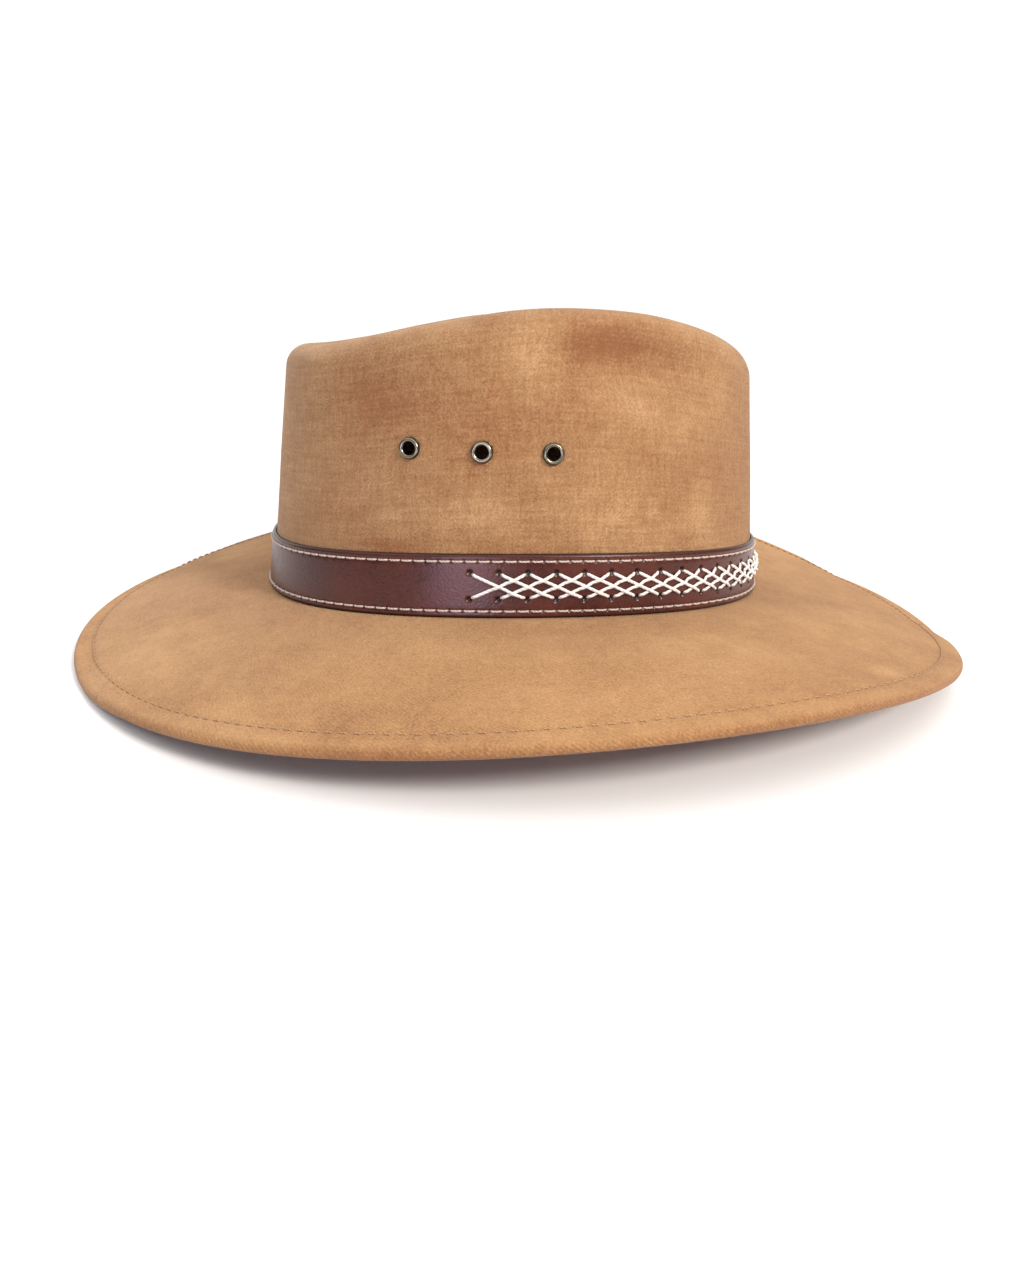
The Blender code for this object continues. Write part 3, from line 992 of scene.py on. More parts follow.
@dataclass
class Crown:
    """Blocked crown: one cloth shell with a rounded rim, a teardrop dent and two front pinches."""

    form: HatForm
    eyelets: EyeletPlan
    stations: int = 384
    wall_rows: int = 56
    shoulder_rows: int = 14
    bank_rows: int = 26
    floor_rows: int = 16
    unevenness: float = 0.35 * MM
    highlight_reach: float = 5 * MM
    rim_highlight: float = 0.3
    cutter_ends: tuple[float, float] = (-5.0 * MM, 4.0 * MM)
    cutter_sides: int = 48
    slow_waves: tuple[Ripple, ...] = (
        Ripple(2, 1.1, 0.4, 0.5), Ripple(3, 0.7, 2.1, 0.35), Ripple(5, 1.6, 4.0, 0.25),
        Ripple(7, 2.3, 1.1, 0.15),
    )
    # Crown patches, mostly painted shade and painted light: darker in the upper hollow of the front
    # pinches, under the rim beside them and on the sides turned from the light, paler on the lit ridge
    # behind the pinch and on its lower lip; the rest is stroked nap.
    nap_and_shade_patches: tuple[NapShadePatch, ...] = (
        NapShadePatch(75, 0.1155, 9, 0.0065, -0.52), NapShadePatch(60, 0.1110, 9, 0.0055, -0.30),
        NapShadePatch(85, 0.1130, 3, 0.0080, -0.25), NapShadePatch(93, 0.1120, 4, 0.0110, 0.22),
        NapShadePatch(126, 0.0950, 14, 0.0140, -0.35), NapShadePatch(98, 0.0900, 12, 0.0110, -0.16),
        NapShadePatch(68, 0.0930, 12, 0.0080, 0.08), NapShadePatch(50, 0.0860, 12, 0.0100, 0.08),
        NapShadePatch(105, 0.0610, 16, 0.0070, 0.20), NapShadePatch(64, 0.0600, 14, 0.0080, 0.22),
        NapShadePatch(121, 0.0480, 9, 0.0040, -0.38), NapShadePatch(90, 0.0480, 9, 0.0035, -0.20),
        NapShadePatch(30, 0.0800, 12, 0.0450, -0.26),
    )

    def outer_rows(self) -> tuple[np.ndarray, np.ndarray]:
        """Outer face from foot to middle.

        The wall rises at a lean, the shoulder is a quarter circle, the bank eases down by half a
        cosine over a set run, and the floor runs on to the middle.

        Returns:
            Rows by stations of points, and the pole.
        """
        form = self.form
        angle = math.pi + np.arange(self.stations) * TURN / self.stations
        foot = form.headline(angle) + form.clearance
        rim = form.rim_height(angle)
        radius = form.shoulder(angle)
        share = np.linspace(0, 1, self.wall_rows, endpoint=False)[:, None]
        wall = form.crown_point(angle, 0.0, foot + share * (rim - radius - foot))
        turn = np.linspace(0, math.pi / 2, self.shoulder_rows)[:, None]
        shoulder = form.crown_point(angle, radius * (1 - np.cos(turn)), rim - radius * (1 - np.sin(turn)))
        lip = shoulder[-1]
        centre = np.array([0.0, form.head_set_back])
        lip_run = np.linalg.norm(lip[:, :2] - centre, axis=1)
        floor_centre = form.crown_height * float(form.rim_share(np.array([0.5]))[0]) - form.dent_depth
        bank_run = form.dent_bank / lip_run
        down = np.linspace(0, 1, self.bank_rows + 1)[1:, None]
        run_bank = bank_run * down
        reach = np.arange(1, self.floor_rows + 1)[:, None] / (self.floor_rows + 1)
        run = np.concatenate([run_bank, bank_run + (1 - bank_run) * reach])
        down = np.concatenate([down, np.ones_like(reach)])
        floor = floor_centre + (1 - run) * 0.5 * (lip[:, 2] - form.dent_depth - floor_centre)
        height = lip[:, 2] + (floor - lip[:, 2]) * (1 - np.cos(math.pi * down)) / 2
        plan = lip[:, :2] + (centre - lip[:, :2]) * run[..., None]
        dent = np.concatenate([plan, height[..., None]], axis=-1)
        return np.concatenate([wall, shoulder, dent]), np.array([*centre, floor_centre])

    def build(self, cloth: bpy.types.Material) -> bpy.types.Object:
        """Crown with its wall, its slow unevenness, painted shade and light in patches, a painted highlight
        along its rim and the holes for the eyelets.

        Args:
            cloth: the crown's finish.

        Returns:
            The finished crown.
        """
        form = self.form
        outer, pole = self.outer_rows()
        rows = len(outer)
        angle = math.pi + np.arange(self.stations) * TURN / self.stations
        normal = surface_normals(outer)
        place = np.linspace(0, 1, rows)[:, None]
        calm = smoothstep(0.16, 0.4, place) * (1 - smoothstep(0.85, 1.0, place))
        wave = self.unevenness * calm * ripples(self.slow_waves, angle, place)
        outer = outer + normal * wave[..., None]
        normal = surface_normals(outer)
        inner = outer - form.cloth_wall * normal
        poles = np.array([pole, pole - [0, 0, form.cloth_wall]])
        climb = np.linalg.norm(np.diff(outer, axis=0), axis=2).mean(axis=1)
        up = np.concatenate([[0.0], np.cumsum(climb)])
        around = np.arange(self.stations + 1) / self.stations * Girth.along(
            lambda turn: form.crown_point(turn, 0.0, form.headline(turn))).length
        uv = np.stack(np.broadcast_arrays(around, up[:, None]), axis=-1)
        drop = form.rim_height(angle) - outer[..., 2]
        on_wall = np.arange(rows)[:, None] < self.wall_rows + self.shoulder_rows
        # Painted highlight: the cloth is paler along the rounded rim, where it catches the light.
        wear_and_highlight = bell(drop, self.highlight_reach) * self.rim_highlight
        # Painted shade and painted light from the crown's patches, mixed with stroked nap, on the wall and
        # shoulder only.
        nap = np.where(on_wall, nap_and_shade_sum(self.nap_and_shade_patches, angle, outer[..., 2]), 0.0)
        patch = shell_patch(outer, inner, poles, uv, {"wear_and_highlight": wear_and_highlight, "nap": nap, "turned": np.zeros((1, 1))})
        crown = make_piece("crown_cloth", patch, cloth, ("crown",))
        self.pierce(crown)
        return crown

    def pierce(self, crown: bpy.types.Object) -> None:
        """Cut the eyelets' holes through the wall, with one cutter of six round bars.

        Args:
            crown: the crown, whose mesh is replaced by the cut one.
        """
        bars = []
        radius = self.eyelets.barrel_radius + self.form.clearance
        for _, place in self.eyelets.places(self.form):
            bars.append(np.array([place @ Vector((0, 0, out)) for out in self.cutter_ends]))
        paths = np.array(bars)
        outward = np.tile(np.array([0.0, 0.0, 1.0]), (len(bars), 2, 1))
        cutter_patch = tube_patch(paths, outward, np.full(2, radius), self.cutter_sides)
        mesh = bpy.data.meshes.new("eyelet_holes")
        starts = np.concatenate([[0], np.cumsum(cutter_patch.sizes)[:-1]])
        faces = [cutter_patch.corners[start:start + size].tolist()
                 for start, size in zip(starts, cutter_patch.sizes)]
        mesh.from_pydata(cutter_patch.points.tolist(), [], faces)
        if signed_volume(cutter_patch.points, cutter_patch.corners, cutter_patch.sizes) < 0:
            mesh.flip_normals()
        cutter = bpy.data.objects.new("eyelet_holes", mesh)
        bpy.context.scene.collection.objects.link(cutter)
        holes = crown.modifiers.new("eyelet_holes", "BOOLEAN")
        holes.operation = "DIFFERENCE"
        holes.solver = "EXACT"
        holes.object = cutter
        bpy.context.view_layer.update()
        cut = bpy.data.meshes.new_from_object(crown.evaluated_get(bpy.context.evaluated_depsgraph_get()))
        crown.modifiers.remove(holes)
        old = crown.data
        crown.data = cut
        cut.name = old.name
        bpy.data.meshes.remove(old)
        bpy.data.objects.remove(cutter, do_unlink=True)


def surface_normals(grid: np.ndarray) -> np.ndarray:
    """Outward normals of a surface: the way up its rows crossed with the way round.

    Args:
        grid: rows by stations of points, closed round the stations.

    Returns:
        The unit normal at each point.
    """
    up = np.gradient(grid, axis=0)
    wrapped = np.concatenate([grid[:, -1:], grid, grid[:, :1]], axis=1)
    around = (wrapped[:, 2:] - wrapped[:, :-2]) / 2
    return unit(np.cross(up, around))


@dataclass
class Brim:
    """Wide brim: a cloth ring with a turned and stitched hem, dipping in front and behind."""

    form: HatForm
    stations: int = 480
    top_rows: int = 66
    edge_rows: int = 15
    under_rows: int = 40
    groove_depth: float = 0.12 * MM
    groove_width: float = 0.9 * MM
    unevenness: float = 0.45 * MM
    stitch_pitch: float = 4.2 * MM
    stitch_length: float = 3.1 * MM
    thread_radius: float = 0.27 * MM
    stitch_points: int = 9
    seam_in_hem: float = 0.98
    fine_reach: float = 1.35
    fine_top_rows: int = 26
    fine_under_rows: int = 15
    edge_wear: float = 0.15
    seam_shade: float = 0.07
    edge_shade: float = 0.50
    slow_waves: tuple[Ripple, ...] = (
        Ripple(3, 0.4, 0.9, 0.5), Ripple(5, 0.8, 3.3, 0.35), Ripple(8, 0.5, 1.7, 0.25),
        Ripple(13, 1.2, 5.0, 0.12),
    )
    # Brim patches, partly painted light and painted shade: paler at the back and towards the front, where
    # the brim takes the light, darker beside the crown's foot; the rest is stroked nap.
    nap_and_shade_patches: tuple[NapShadePatch, ...] = (
        NapShadePatch(53, 0.83, 3, 0.05, 0.30), NapShadePatch(154, 0.58, 10, 0.20, 0.18),
        NapShadePatch(27, 0.50, 12, 0.22, 0.14), NapShadePatch(104, 0.55, 16, 0.16, -0.10),
        NapShadePatch(90, 0.14, 30, 0.10, -0.12), NapShadePatch(60, 0.40, 14, 0.18, 0.14),
    )

    def surface(self, angle: np.ndarray, share: np.ndarray) -> np.ndarray:
        """Brim level with its slow waves, and the groove that the hem's stitches pull.

        Args:
            angle: angles round the hat.
            share: places between seat and edge.

        Returns:
            Array whose last axis holds x, y, top height and underside height.
        """
        level = self.form.brim_level(angle, share)
        free = smoothstep(0.05, 0.3, share) * (1 - smoothstep(0.9, 0.98, share))
        wave = self.unevenness * free * ripples(self.slow_waves, angle, share)
        off_seam = (share - self.seam_share()) * self.form.brim_run()
        groove = self.groove_depth * bell(off_seam, self.groove_width)
        level[..., 2] += wave - groove
        level[..., 3] = np.maximum(0.0, level[..., 3] + wave + 0.5 * groove)
        return level

    def seam_share(self) -> float:
        """Place of the hem's stitching between seat and edge."""
        return 1 - self.form.hem_share() * self.seam_in_hem

    def build(self, cloth: bpy.types.Material, thread: bpy.types.Material) -> None:
        """Cloth of the brim and the stitches of its hem, above and below.

        The section runs from the opening out over the top, round the edge and back underneath. Its rows
        lie closer together at the hem.

        Args:
            cloth: the brim's finish.
            thread: the stitches' finish.
        """
        form = self.form
        angle = math.pi + np.arange(self.stations) * TURN / self.stations
        bead = 0.5 * form.hem_thickness / form.brim_run()
        fine = 1 - self.fine_reach * form.hem_share()
        top_share = np.concatenate([
            np.linspace(0, fine, self.top_rows - self.fine_top_rows, endpoint=False),
            np.linspace(fine, 1 - bead, self.fine_top_rows, endpoint=False)])[:, None]
        under_share = np.concatenate([
            np.linspace(1 - bead, fine, self.fine_under_rows + 1, endpoint=False)[1:],
            np.linspace(fine, 0, self.under_rows - self.fine_under_rows)])[:, None]
        turn = np.linspace(math.pi / 2, -math.pi / 2, self.edge_rows)[:, None]
        top = self.surface(angle, top_share)
        edge = self.surface(angle, 1 - bead * (1 - np.cos(turn)))
        under = self.surface(angle, under_share)
        tip = self.surface(angle, np.full((1, 1), 1 - bead))
        middle = (tip[..., 2] + tip[..., 3]) / 2
        half = (tip[..., 2] - tip[..., 3]) / 2
        slope = (edge[..., 2] + edge[..., 3]) / 2 - middle
        settled = np.maximum(middle + half * np.sin(turn) + slope, 0.0)
        opening = self.opening(angle)
        points = np.concatenate([
            opening[:1], top[..., [0, 1, 2]], np.concatenate([edge[..., :2], settled[..., None]], axis=-1),
            under[..., [0, 1, 3]], opening[1:]])
        rows = len(points)
        run = np.linalg.norm(np.diff(np.concatenate([points, points[:1]]), axis=0), axis=2).mean(axis=1)
        out = np.concatenate([[0.0], np.cumsum(run)])
        girth = Girth.along(lambda turn: form.brim_level(turn, np.array(0.6))[..., :3]).length
        around = np.arange(self.stations + 1) / self.stations * girth
        uv = np.stack(np.broadcast_arrays(around, out[:, None]), axis=-1)
        wear_and_highlight = np.zeros((rows, 1))
        first_edge = 1 + len(top_share)
        wear_and_highlight[first_edge - 8:first_edge + 4] = self.edge_wear
        nap = np.zeros((rows, self.stations))
        seam = bell((top_share - self.seam_share()) * form.brim_run(), 0.8 * MM)
        # Painted shade and light from the brim's patches, with stroked nap, less a painted shade along the
        # stitched groove.
        nap[1:first_edge] = nap_and_shade_sum(self.nap_and_shade_patches, angle, top_share) - self.seam_shade * seam
        turned = np.zeros((rows, 1))
        turned[first_edge:first_edge + self.edge_rows, 0] = np.linspace(0, 1, self.edge_rows)
        turned[first_edge + self.edge_rows:] = 1.0
        # Painted shade on the edge's lower half and the underside, which face down to the floor.
        nap[first_edge:] -= self.edge_shade * turned[first_edge:]
        patch = ring_patch(points, uv, {"wear_and_highlight": wear_and_highlight, "nap": nap, "turned": turned}, True)
        make_piece("brim_cloth", patch, cloth, ("brim",))
        for side in Face:
            stitches = self.stitches(side)
            make_piece(f"hem_stitches_{side.name.lower()}", stitches, thread)

    def opening(self, angle: np.ndarray) -> np.ndarray:
        """Inner edge of the brim: the crown's inner oval at the headline.

        Args:
            angle: angles round the hat.

        Returns:
            The upper and the lower line of points.
        """
        form = self.form
        across, along = form.oval(angle, form.head_length / 2 - form.cloth_wall,
                                  form.head_width / 2 - form.cloth_wall, form.head_set_back)
        seat = form.headline(angle)
        rows = [np.stack([across, along, seat - down], axis=-1) for down in (0.0, form.brim_wall)]
        return np.array(rows)

    def stitches(self, side: Face) -> Patch:
        """Stitches of the hem on one face: short arcs whose ends dive into the cloth.

        Args:
            side: the face they stand off.

        Returns:
            The stitches' mesh.
        """
        share = np.array(self.seam_share())
        girth = Girth.along(lambda turn: self.surface(turn, share)[..., :3])
        count = round(girth.length / self.stitch_pitch)
        start = np.arange(count)[:, None] * girth.length / count
        place = np.linspace(-0.5, 0.5, self.stitch_points)
        angle = girth.angle(start + place * self.stitch_length)
        level = self.surface(angle, share)
        height = level[..., 2] if side is Face.TOP else level[..., 3]
        arch = self.thread_radius * (1.0 - 3.0 * (2 * np.abs(place)) ** 5)
        height = np.maximum(height + side.value * arch, self.thread_radius)
        paths = np.stack([level[..., 0], level[..., 1], height], axis=-1)
        outward = np.broadcast_to(np.array([0.0, 0.0, float(side.value)]), paths.shape)
        return tube_patch(paths, outward, np.full(self.stitch_points, self.thread_radius), 6)


@dataclass
class Band:
    """Leather band: a strap with two stitch lines and a lattice of lacing over its front half."""

    form: HatForm
    stations: int = 1600
    face_rows: int = 44
    edge_radius: float = 1.0 * MM
    lace_reach: float = 176 * MM
    lace_columns: int = 36
    upper_holes: float = 15.2 * MM
    lower_holes: float = 6.2 * MM
    hole_radius: float = 0.95 * MM
    cord_radius: float = 0.55 * MM
    tuck_along: float = 1.0 * MM
    tuck_up: float = 0.6 * MM
    stitch_pitch: float = 4.5 * MM
    stitch_length: float = 3.9 * MM
    needle_radius: float = 0.5 * MM
    thread_radius: float = 0.36 * MM
    stitch_lines: tuple[float, float] = (2.3 * MM, 18.9 * MM)
    stitch_points: int = 9
    strand_points: int = 33
    crossing_reach: float = 2.6 * MM
    dive_reach: float = 0.5 * MM
    edge_reach: float = 0.5 * MM
    hole_depth: float = 0.7 * MM
    seam_depth: float = 0.16 * MM

    def girth(self) -> Girth:
        """Way round the middle of the band's outer face."""
        form = self.form
        return Girth.along(lambda turn: form.band_point(turn, form.band_height / 2, form.leather_wall))

    def build(self, leather: bpy.types.Material, cord: bpy.types.Material,
              thread: bpy.types.Material) -> None:
        """Strap, lacing and stitch lines.

        Args:
            leather: the strap's finish.
            cord: the lacing's finish.
            thread: the stitches' finish.
        """
        girth = self.girth()
        make_piece("band_leather", self.strap(girth), leather, ("hat_band",))
        make_piece("band_lacing", self.lacing(girth), cord)
        for name, line in zip(("lower", "upper"), self.stitch_lines):
            make_piece(f"band_stitches_{name}", self.stitches(girth, line), thread)

    def holes(self) -> np.ndarray:
        """Ways round of the lacing holes, which are the same in both rows."""
        return np.linspace(-self.lace_reach, self.lace_reach, self.lace_columns + 1)

    def strap(self, girth: Girth) -> Patch:
        """Closed section: inner face, rounded edges, and an outer face dimpled at holes and stitches.

        Args:
            girth: the way round the band.

        Returns:
            The strap's mesh.
        """
        form = self.form
        way = girth.length / 2 + np.arange(self.stations) * girth.length / self.stations
        angle = girth.angle(way)
        radius = self.edge_radius
        thickness = form.leather_wall
        turn = np.linspace(0, math.pi / 2, 6)
        up = np.concatenate([
            [0.0], radius * (1 - np.cos(turn)),
            np.linspace(radius, form.band_height - radius, self.face_rows)[1:-1],
            form.band_height - radius * (1 - np.cos(turn[::-1])), [form.band_height]])
        out = np.concatenate([
            [0.0], thickness - radius * (1 - np.sin(turn)),
            np.full(self.face_rows - 2, thickness),
            thickness - radius * (1 - np.sin(turn[::-1])), [0.0]])
        wrapped = np.mod(way + girth.length / 2, girth.length) - girth.length / 2
        near = np.abs(wrapped[None, :, None] - self.holes()[None, None, :]).min(axis=2)
        hole = np.zeros((len(up), len(way)))
        for row in (self.upper_holes, self.lower_holes):
            distance = np.hypot(near, up[:, None] - row)
            rim = smoothstep(0.55 * self.hole_radius, 1.25 * self.hole_radius, distance)
            hole = np.maximum(hole, 1 - rim)
        seam = np.zeros_like(hole)
        pitch = girth.length / self.stitch_count(girth)
        phase = np.mod(way, pitch) - pitch / 2
        for line in self.stitch_lines:
            dip = bell(up[:, None] - line, 0.8 * MM) * (0.6 + 0.4 * bell(phase, 0.9 * MM))
            seam = np.maximum(seam, dip)
            needle = np.hypot(phase, up[:, None] - line)
            rim = smoothstep(0.5 * self.needle_radius, self.needle_radius, needle)
            hole = np.maximum(hole, 0.8 * (1 - rim))
        on_face = (out > thickness * 0.9)[:, None]
        depth = np.where(on_face, self.hole_depth * hole + self.seam_depth * seam, 0.0)
        points = form.band_point(angle, up[:, None], out[:, None] - depth)
        uv_up = np.concatenate([up, [up[-1] + thickness]])
        uv = np.stack(np.broadcast_arrays(np.arange(self.stations + 1) / self.stations * girth.length,
                                          uv_up[:, None]), axis=-1)
        edge = np.maximum(bell(up, self.edge_reach), bell(form.band_height - up, self.edge_reach))
        values = {"hole": np.where(on_face, hole, 0.0), "edge": edge[:, None]}
        return ring_patch(points, uv, values, True)

    def stitch_count(self, girth: Girth) -> int:
        """Stitches in one line round the band."""
        return round(girth.length / self.stitch_pitch)

    def stitches(self, girth: Girth, line: float) -> Patch:
        """One stitch line: short arcs along the band whose ends dive into the leather.

        Args:
            girth: the way round the band.
            line: height of the line above the band's foot.

        Returns:
            The stitches' mesh.
        """
        form = self.form
        count = self.stitch_count(girth)
        start = np.arange(count)[:, None] * girth.length / count
        place = np.linspace(-0.5, 0.5, self.stitch_points)
        angle = girth.angle(start + place * self.stitch_length)
        rise = self.thread_radius * (0.9 - 3.0 * (2 * np.abs(place)) ** 5) - 0.1 * MM
        paths = form.band_point(angle, np.full_like(angle, line), form.leather_wall + rise)
        beyond = form.band_point(angle, np.full_like(angle, line), form.leather_wall + rise + MM)
        return tube_patch(paths, unit(beyond - paths), np.full(self.stitch_points, self.thread_radius), 8)

    def lacing(self, girth: Girth) -> Patch:
        """Lattice of cord: from each hole two columns on in the other row, over and under in turn.

        A strand runs straight across the band. Its height off the leather is the cord's radius, plus
        a cosine bump over each strand that it crosses, and less at its ends, where it enters a hole.

        Args:
            girth: the way round the band.

        Returns:
            The lacing's mesh.
        """
        form = self.form
        holes = self.holes()
        share = np.linspace(0, 1, self.strand_points)
        first = holes[:-2] + self.tuck_along
        final = holes[2:] - self.tuck_along
        run = final[0] - first[0]
        aside = (holes[1] - holes[0]) / (2 * run)
        upper = self.upper_holes - self.tuck_up
        lower = self.lower_holes + self.tuck_up
        rising = (lower, upper, (0.5 - aside,))
        falling = (upper, lower, (0.5 - aside, 0.5))
        paths = []
        outwards = []
        for start_up, end_up, crossings in (rising, falling):
            way = first[:, None] + (final - first)[:, None] * share
            up = np.broadcast_to(start_up + (end_up - start_up) * share, way.shape)
            lift = sum(cosine_bump(share - place, self.crossing_reach / run) for place in crossings)
            dive = bell(share, self.dive_reach / run) + bell(1 - share, self.dive_reach / run)
            rise = self.cord_radius * (0.8 + 1.5 * np.minimum(lift, 1.0) - 1.7 * dive)
            angle = girth.angle(way)
            path = form.band_point(angle, up, form.leather_wall + rise)
            beyond = form.band_point(angle, up, form.leather_wall + rise + MM)
            paths.append(path)
            outwards.append(unit(beyond - path))
        radius = np.full(self.strand_points, self.cord_radius)
        return tube_patch(np.concatenate(paths), np.concatenate(outwards), radius, 10, 0.9)


@dataclass
class Eyelets:
    """Turned brass eyelets: a rolled dome outside, a barrel through the cloth and a washer inside."""

    form: HatForm
    plan: EyeletPlan
    segments: int = 56
    dome_points: int = 17
    washer_points: int = 9

    def profile(self) -> tuple[np.ndarray, np.ndarray]:
        """Closed section of an eyelet.

        The dome is a half ellipse between the hole and the flange's edge; the barrel runs straight
        through the wall, and the washer inside is a flatter half ellipse.

        Returns:
            Radius and height of each point, and how dark its patina is.
        """
        plan = self.plan
        form = self.form
        middle = (plan.hole_radius + plan.flange_radius) / 2
        half = (plan.flange_radius - plan.hole_radius) / 2
        turn = np.linspace(math.pi, 0, self.dome_points)
        dome_height = form.clearance + plan.dome_foot + plan.dome_rise * np.sin(turn)
        dome = np.stack([middle + half * np.cos(turn), dome_height], axis=1)
        inside = -form.cloth_wall - form.clearance
        flange = plan.flange_radius - plan.flange_undercut
        neck = np.array([[flange, form.clearance], [plan.barrel_radius, form.clearance],
                         [plan.barrel_radius, inside], [flange, inside]])
        back = np.linspace(0, -math.pi, self.washer_points)
        washer_height = inside - plan.washer_foot + plan.washer_rise * np.sin(back)
        washer = np.stack([middle + half * np.cos(back), washer_height], axis=1)
        profile = np.concatenate([dome, neck, washer])
        lightened = smoothstep(0.3, 0.85, np.sin(turn))
        dark = np.concatenate([1 - lightened, np.ones(len(neck)), np.full(len(washer), 0.5)])
        return profile, dark

    def build(self, brass: bpy.types.Material) -> None:
        """One piece for each eyelet, in the place of its node.

        Args:
            brass: the eyelets' finish.
        """
        profile, dark = self.profile()
        for name, place in self.plan.places(self.form):
            patch = turned_patch(profile, self.segments, place, {"patina": dark})
            make_piece(f"{name}_brass", patch, brass, (name,))


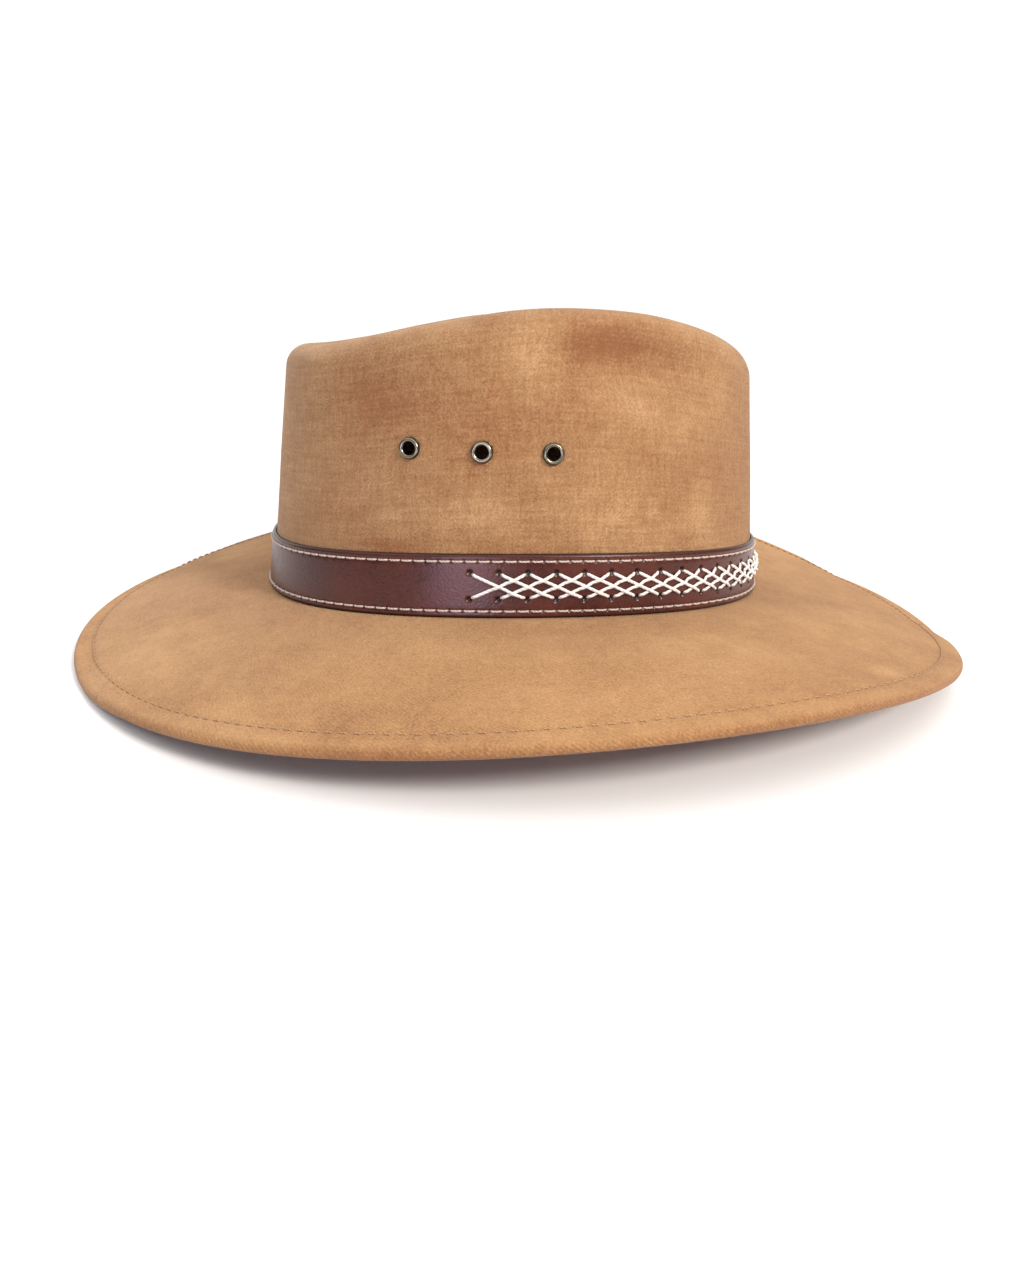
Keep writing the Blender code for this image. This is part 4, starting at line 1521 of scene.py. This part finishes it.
@dataclass(frozen=True)
class Studio:
    """Pale floor, soft light and the photograph's viewpoint."""

    turn: float = math.radians(8.0)
    distance: float = 0.350
    height: float = 0.119
    aim_height: float = -0.0129
    aim_forward: float = -0.0004
    roll: float = math.radians(1.72)
    focal_pixels: float = 825.0
    film: float = 36.0
    floor_radius: float = 1.0
    floor_drop: float = 0.05 * MM
    floor_sides: int = 64
    floor_rings: tuple[float, ...] = (0.3, 0.6, 1.0)
    paper: str = "f3f2f1"
    paper_shade: str = "f0efee"
    paper_clouds: Mottle = Mottle(60.0, 2.0)
    lamp_aim: float = 0.06
    near_glow: float = 0.18
    far_glow: float = 1.06
    top_glow: float = 1.60

    def camera(self, form: HatForm) -> None:
        """Camera beside the hat's right side, a little behind its middle, level with the crown's top.

        Args:
            form: the hat's form.
        """
        centre = Vector((0.0, form.head_set_back, 0.0))
        eye = centre + Vector((-self.distance * math.cos(self.turn), self.distance * math.sin(self.turn),
                               self.height))
        aim = centre + Vector((0.0, -self.aim_forward, self.aim_height))
        ahead = (aim - eye).normalized()
        level = ahead.cross(Vector((0, 0, 1))).normalized()
        upright = level.cross(ahead)
        right = level * math.cos(self.roll) + upright * math.sin(self.roll)
        up = upright * math.cos(self.roll) - level * math.sin(self.roll)
        data = bpy.data.cameras.new("photo_view")
        data.sensor_fit = "AUTO"
        data.sensor_width = self.film
        data.lens = self.focal_pixels / max(PHOTO_WIDTH, PHOTO_HEIGHT) * self.film
        data.clip_start = 0.01
        camera = bpy.data.objects.new("photo_view", data)
        camera.matrix_world = Matrix((right, up, -ahead)).transposed().to_4x4()
        camera.location = eye
        bpy.context.scene.collection.objects.link(camera)
        bpy.context.scene.camera = camera

    def floor(self) -> None:
        """Pale paper disc, a hair under the pressed cloth, which meets the white surroundings behind it."""
        rings = np.array(self.floor_rings)[:, None] * self.floor_radius
        turn = np.arange(self.floor_sides) * TURN / self.floor_sides
        points = np.stack(np.broadcast_arrays(rings * np.cos(turn), rings * np.sin(turn), -self.floor_drop),
                          axis=-1)
        corners, _ = grid_corners(len(rings), self.floor_sides, False, False)
        faces = corners.reshape(-1, 4).tolist() + [list(range(self.floor_sides))]
        mesh = bpy.data.meshes.new("floor")
        mesh.from_pydata(points.reshape(-1, 3).tolist(), [], faces)
        material, tree, shader = new_material("matt_paper", {"Roughness": 0.9, "Specular IOR Level": 0.1})
        place = add_node(tree, "TexCoord", {}, "Object")
        shade = add_node(tree, "TexNoise", self.paper_clouds.on(place), "Fac")
        shade = add_node(tree, "MapRange", {**eased(0.3, 0.7, 0.0, 0.2), "Value": shade})
        ends = {UNDER: linear(self.paper), OVER: linear(self.paper_shade)}
        colour = add_node(tree, "Mix", {**COLOURS, SHARE: shade, **ends}, MIXED)
        tree.links.new(colour, shader.inputs["Base Color"])
        mesh.materials.append(material)
        piece = bpy.data.objects.new("floor", mesh)
        bpy.context.scene.collection.objects.link(piece)

    def lamp(self, name: str, place: tuple[float, float, float], size: float, power: float,
             colour: str) -> None:
        """Square soft lamp aimed at the hat.

        Args:
            name: the lamp's name.
            place: where it hangs.
            size: length of its side.
            power: its power in watts.
            colour: sRGB hex value of its light.
        """
        data = bpy.data.lights.new(name, "AREA")
        data.shape = "SQUARE"
        data.size = size
        data.energy = power
        data.color = linear(colour)[:3]
        lamp = bpy.data.objects.new(name, data)
        lamp.location = place
        aim = Vector((0, 0, self.lamp_aim)) - Vector(place)
        lamp.rotation_euler = aim.to_track_quat("-Z", "Y").to_euler()
        bpy.context.scene.collection.objects.link(lamp)

    def surroundings(self) -> None:
        """White surroundings: bright behind the hat and overhead, dim on the camera's side.

        Brightness eases up along +X, and with height it eases up to the overhead value.
        """
        world = bpy.context.scene.world or bpy.data.worlds.new("studio")
        bpy.context.scene.world = world
        world.use_nodes = True
        tree = world.node_tree
        backdrop = tree.nodes["Background"]
        backdrop.inputs["Color"].default_value = linear("ffffff")
        way = add_node(tree, "TexCoord", {}, "Generated")
        across, up = (add_node(tree, "SeparateXYZ", {0: way}, axis) for axis in ("X", "Z"))
        behind = {**eased(0.45, 0.72, self.near_glow, self.far_glow), "Value": across}
        behind = add_node(tree, "MapRange", behind)
        above = add_node(tree, "MapRange", {**eased(0.3, 0.85, 0.0, self.top_glow), "Value": up})
        strength = add_node(tree, "Math", {"operation": "MAXIMUM", 0: behind, 1: above})
        tree.links.new(strength, backdrop.inputs["Strength"])

    def light(self) -> None:
        """Surroundings, a soft key from the front above, and a low soft fill on the camera's side."""
        self.surroundings()
        self.lamp("key", (-1.25, -1.00, 1.10), 0.45, 31.0, "fff8f0")
        self.lamp("fill", (-1.42, 0.62, 0.20), 0.5, 8.0, "dcdcff")


def main() -> None:
    """Build the hat's sub-assemblies in order."""
    logging.basicConfig(level=logging.INFO, format="%(name)s: %(message)s")
    bpy.context.scene.view_settings.view_transform = "Standard"
    form = HatForm.from_frame()
    studio = Studio()
    studio.camera(form)
    studio.floor()
    studio.light()
    eyelets = EyeletPlan()
    # The fifth colour of each cloth is its paler one: a painted highlight on the crown's rim, and wear on
    # the brim's edge.
    crown_cloth = SuedeCloth("brushed_suede_crown", "b18a62", "9c7650", "875938", "b68f66", 1.0).material()
    brim_cloth = SuedeCloth("brushed_suede_brim", "b68b5e", "a77c50", "8a5e3c", "bb9265", 0.35).material()
    leather = BandLeather("waxed_chocolate_leather", "3f1a13", "54261b", "28100b").material()
    cord = TwistedThread("waxed_lacing_cord", "ebe7df", "c8c1b6", 1.2 * MM).material()
    thread = TwistedThread("beige_sewing_thread", "cbb9ab", "947f72", 0.8 * MM).material()
    hem_thread = TwistedThread("tan_sewing_thread", "af885f", "8a6440", 0.8 * MM).material()
    brass = AgedBrass("aged_eyelet_brass", "878070", "1a1611").material()
    Crown(form, eyelets).build(crown_cloth)
    Brim(form).build(brim_cloth, hem_thread)
    Band(form).build(leather, cord, thread)
    Eyelets(form, eyelets).build(brass)


if __name__ == "__main__":
    main()
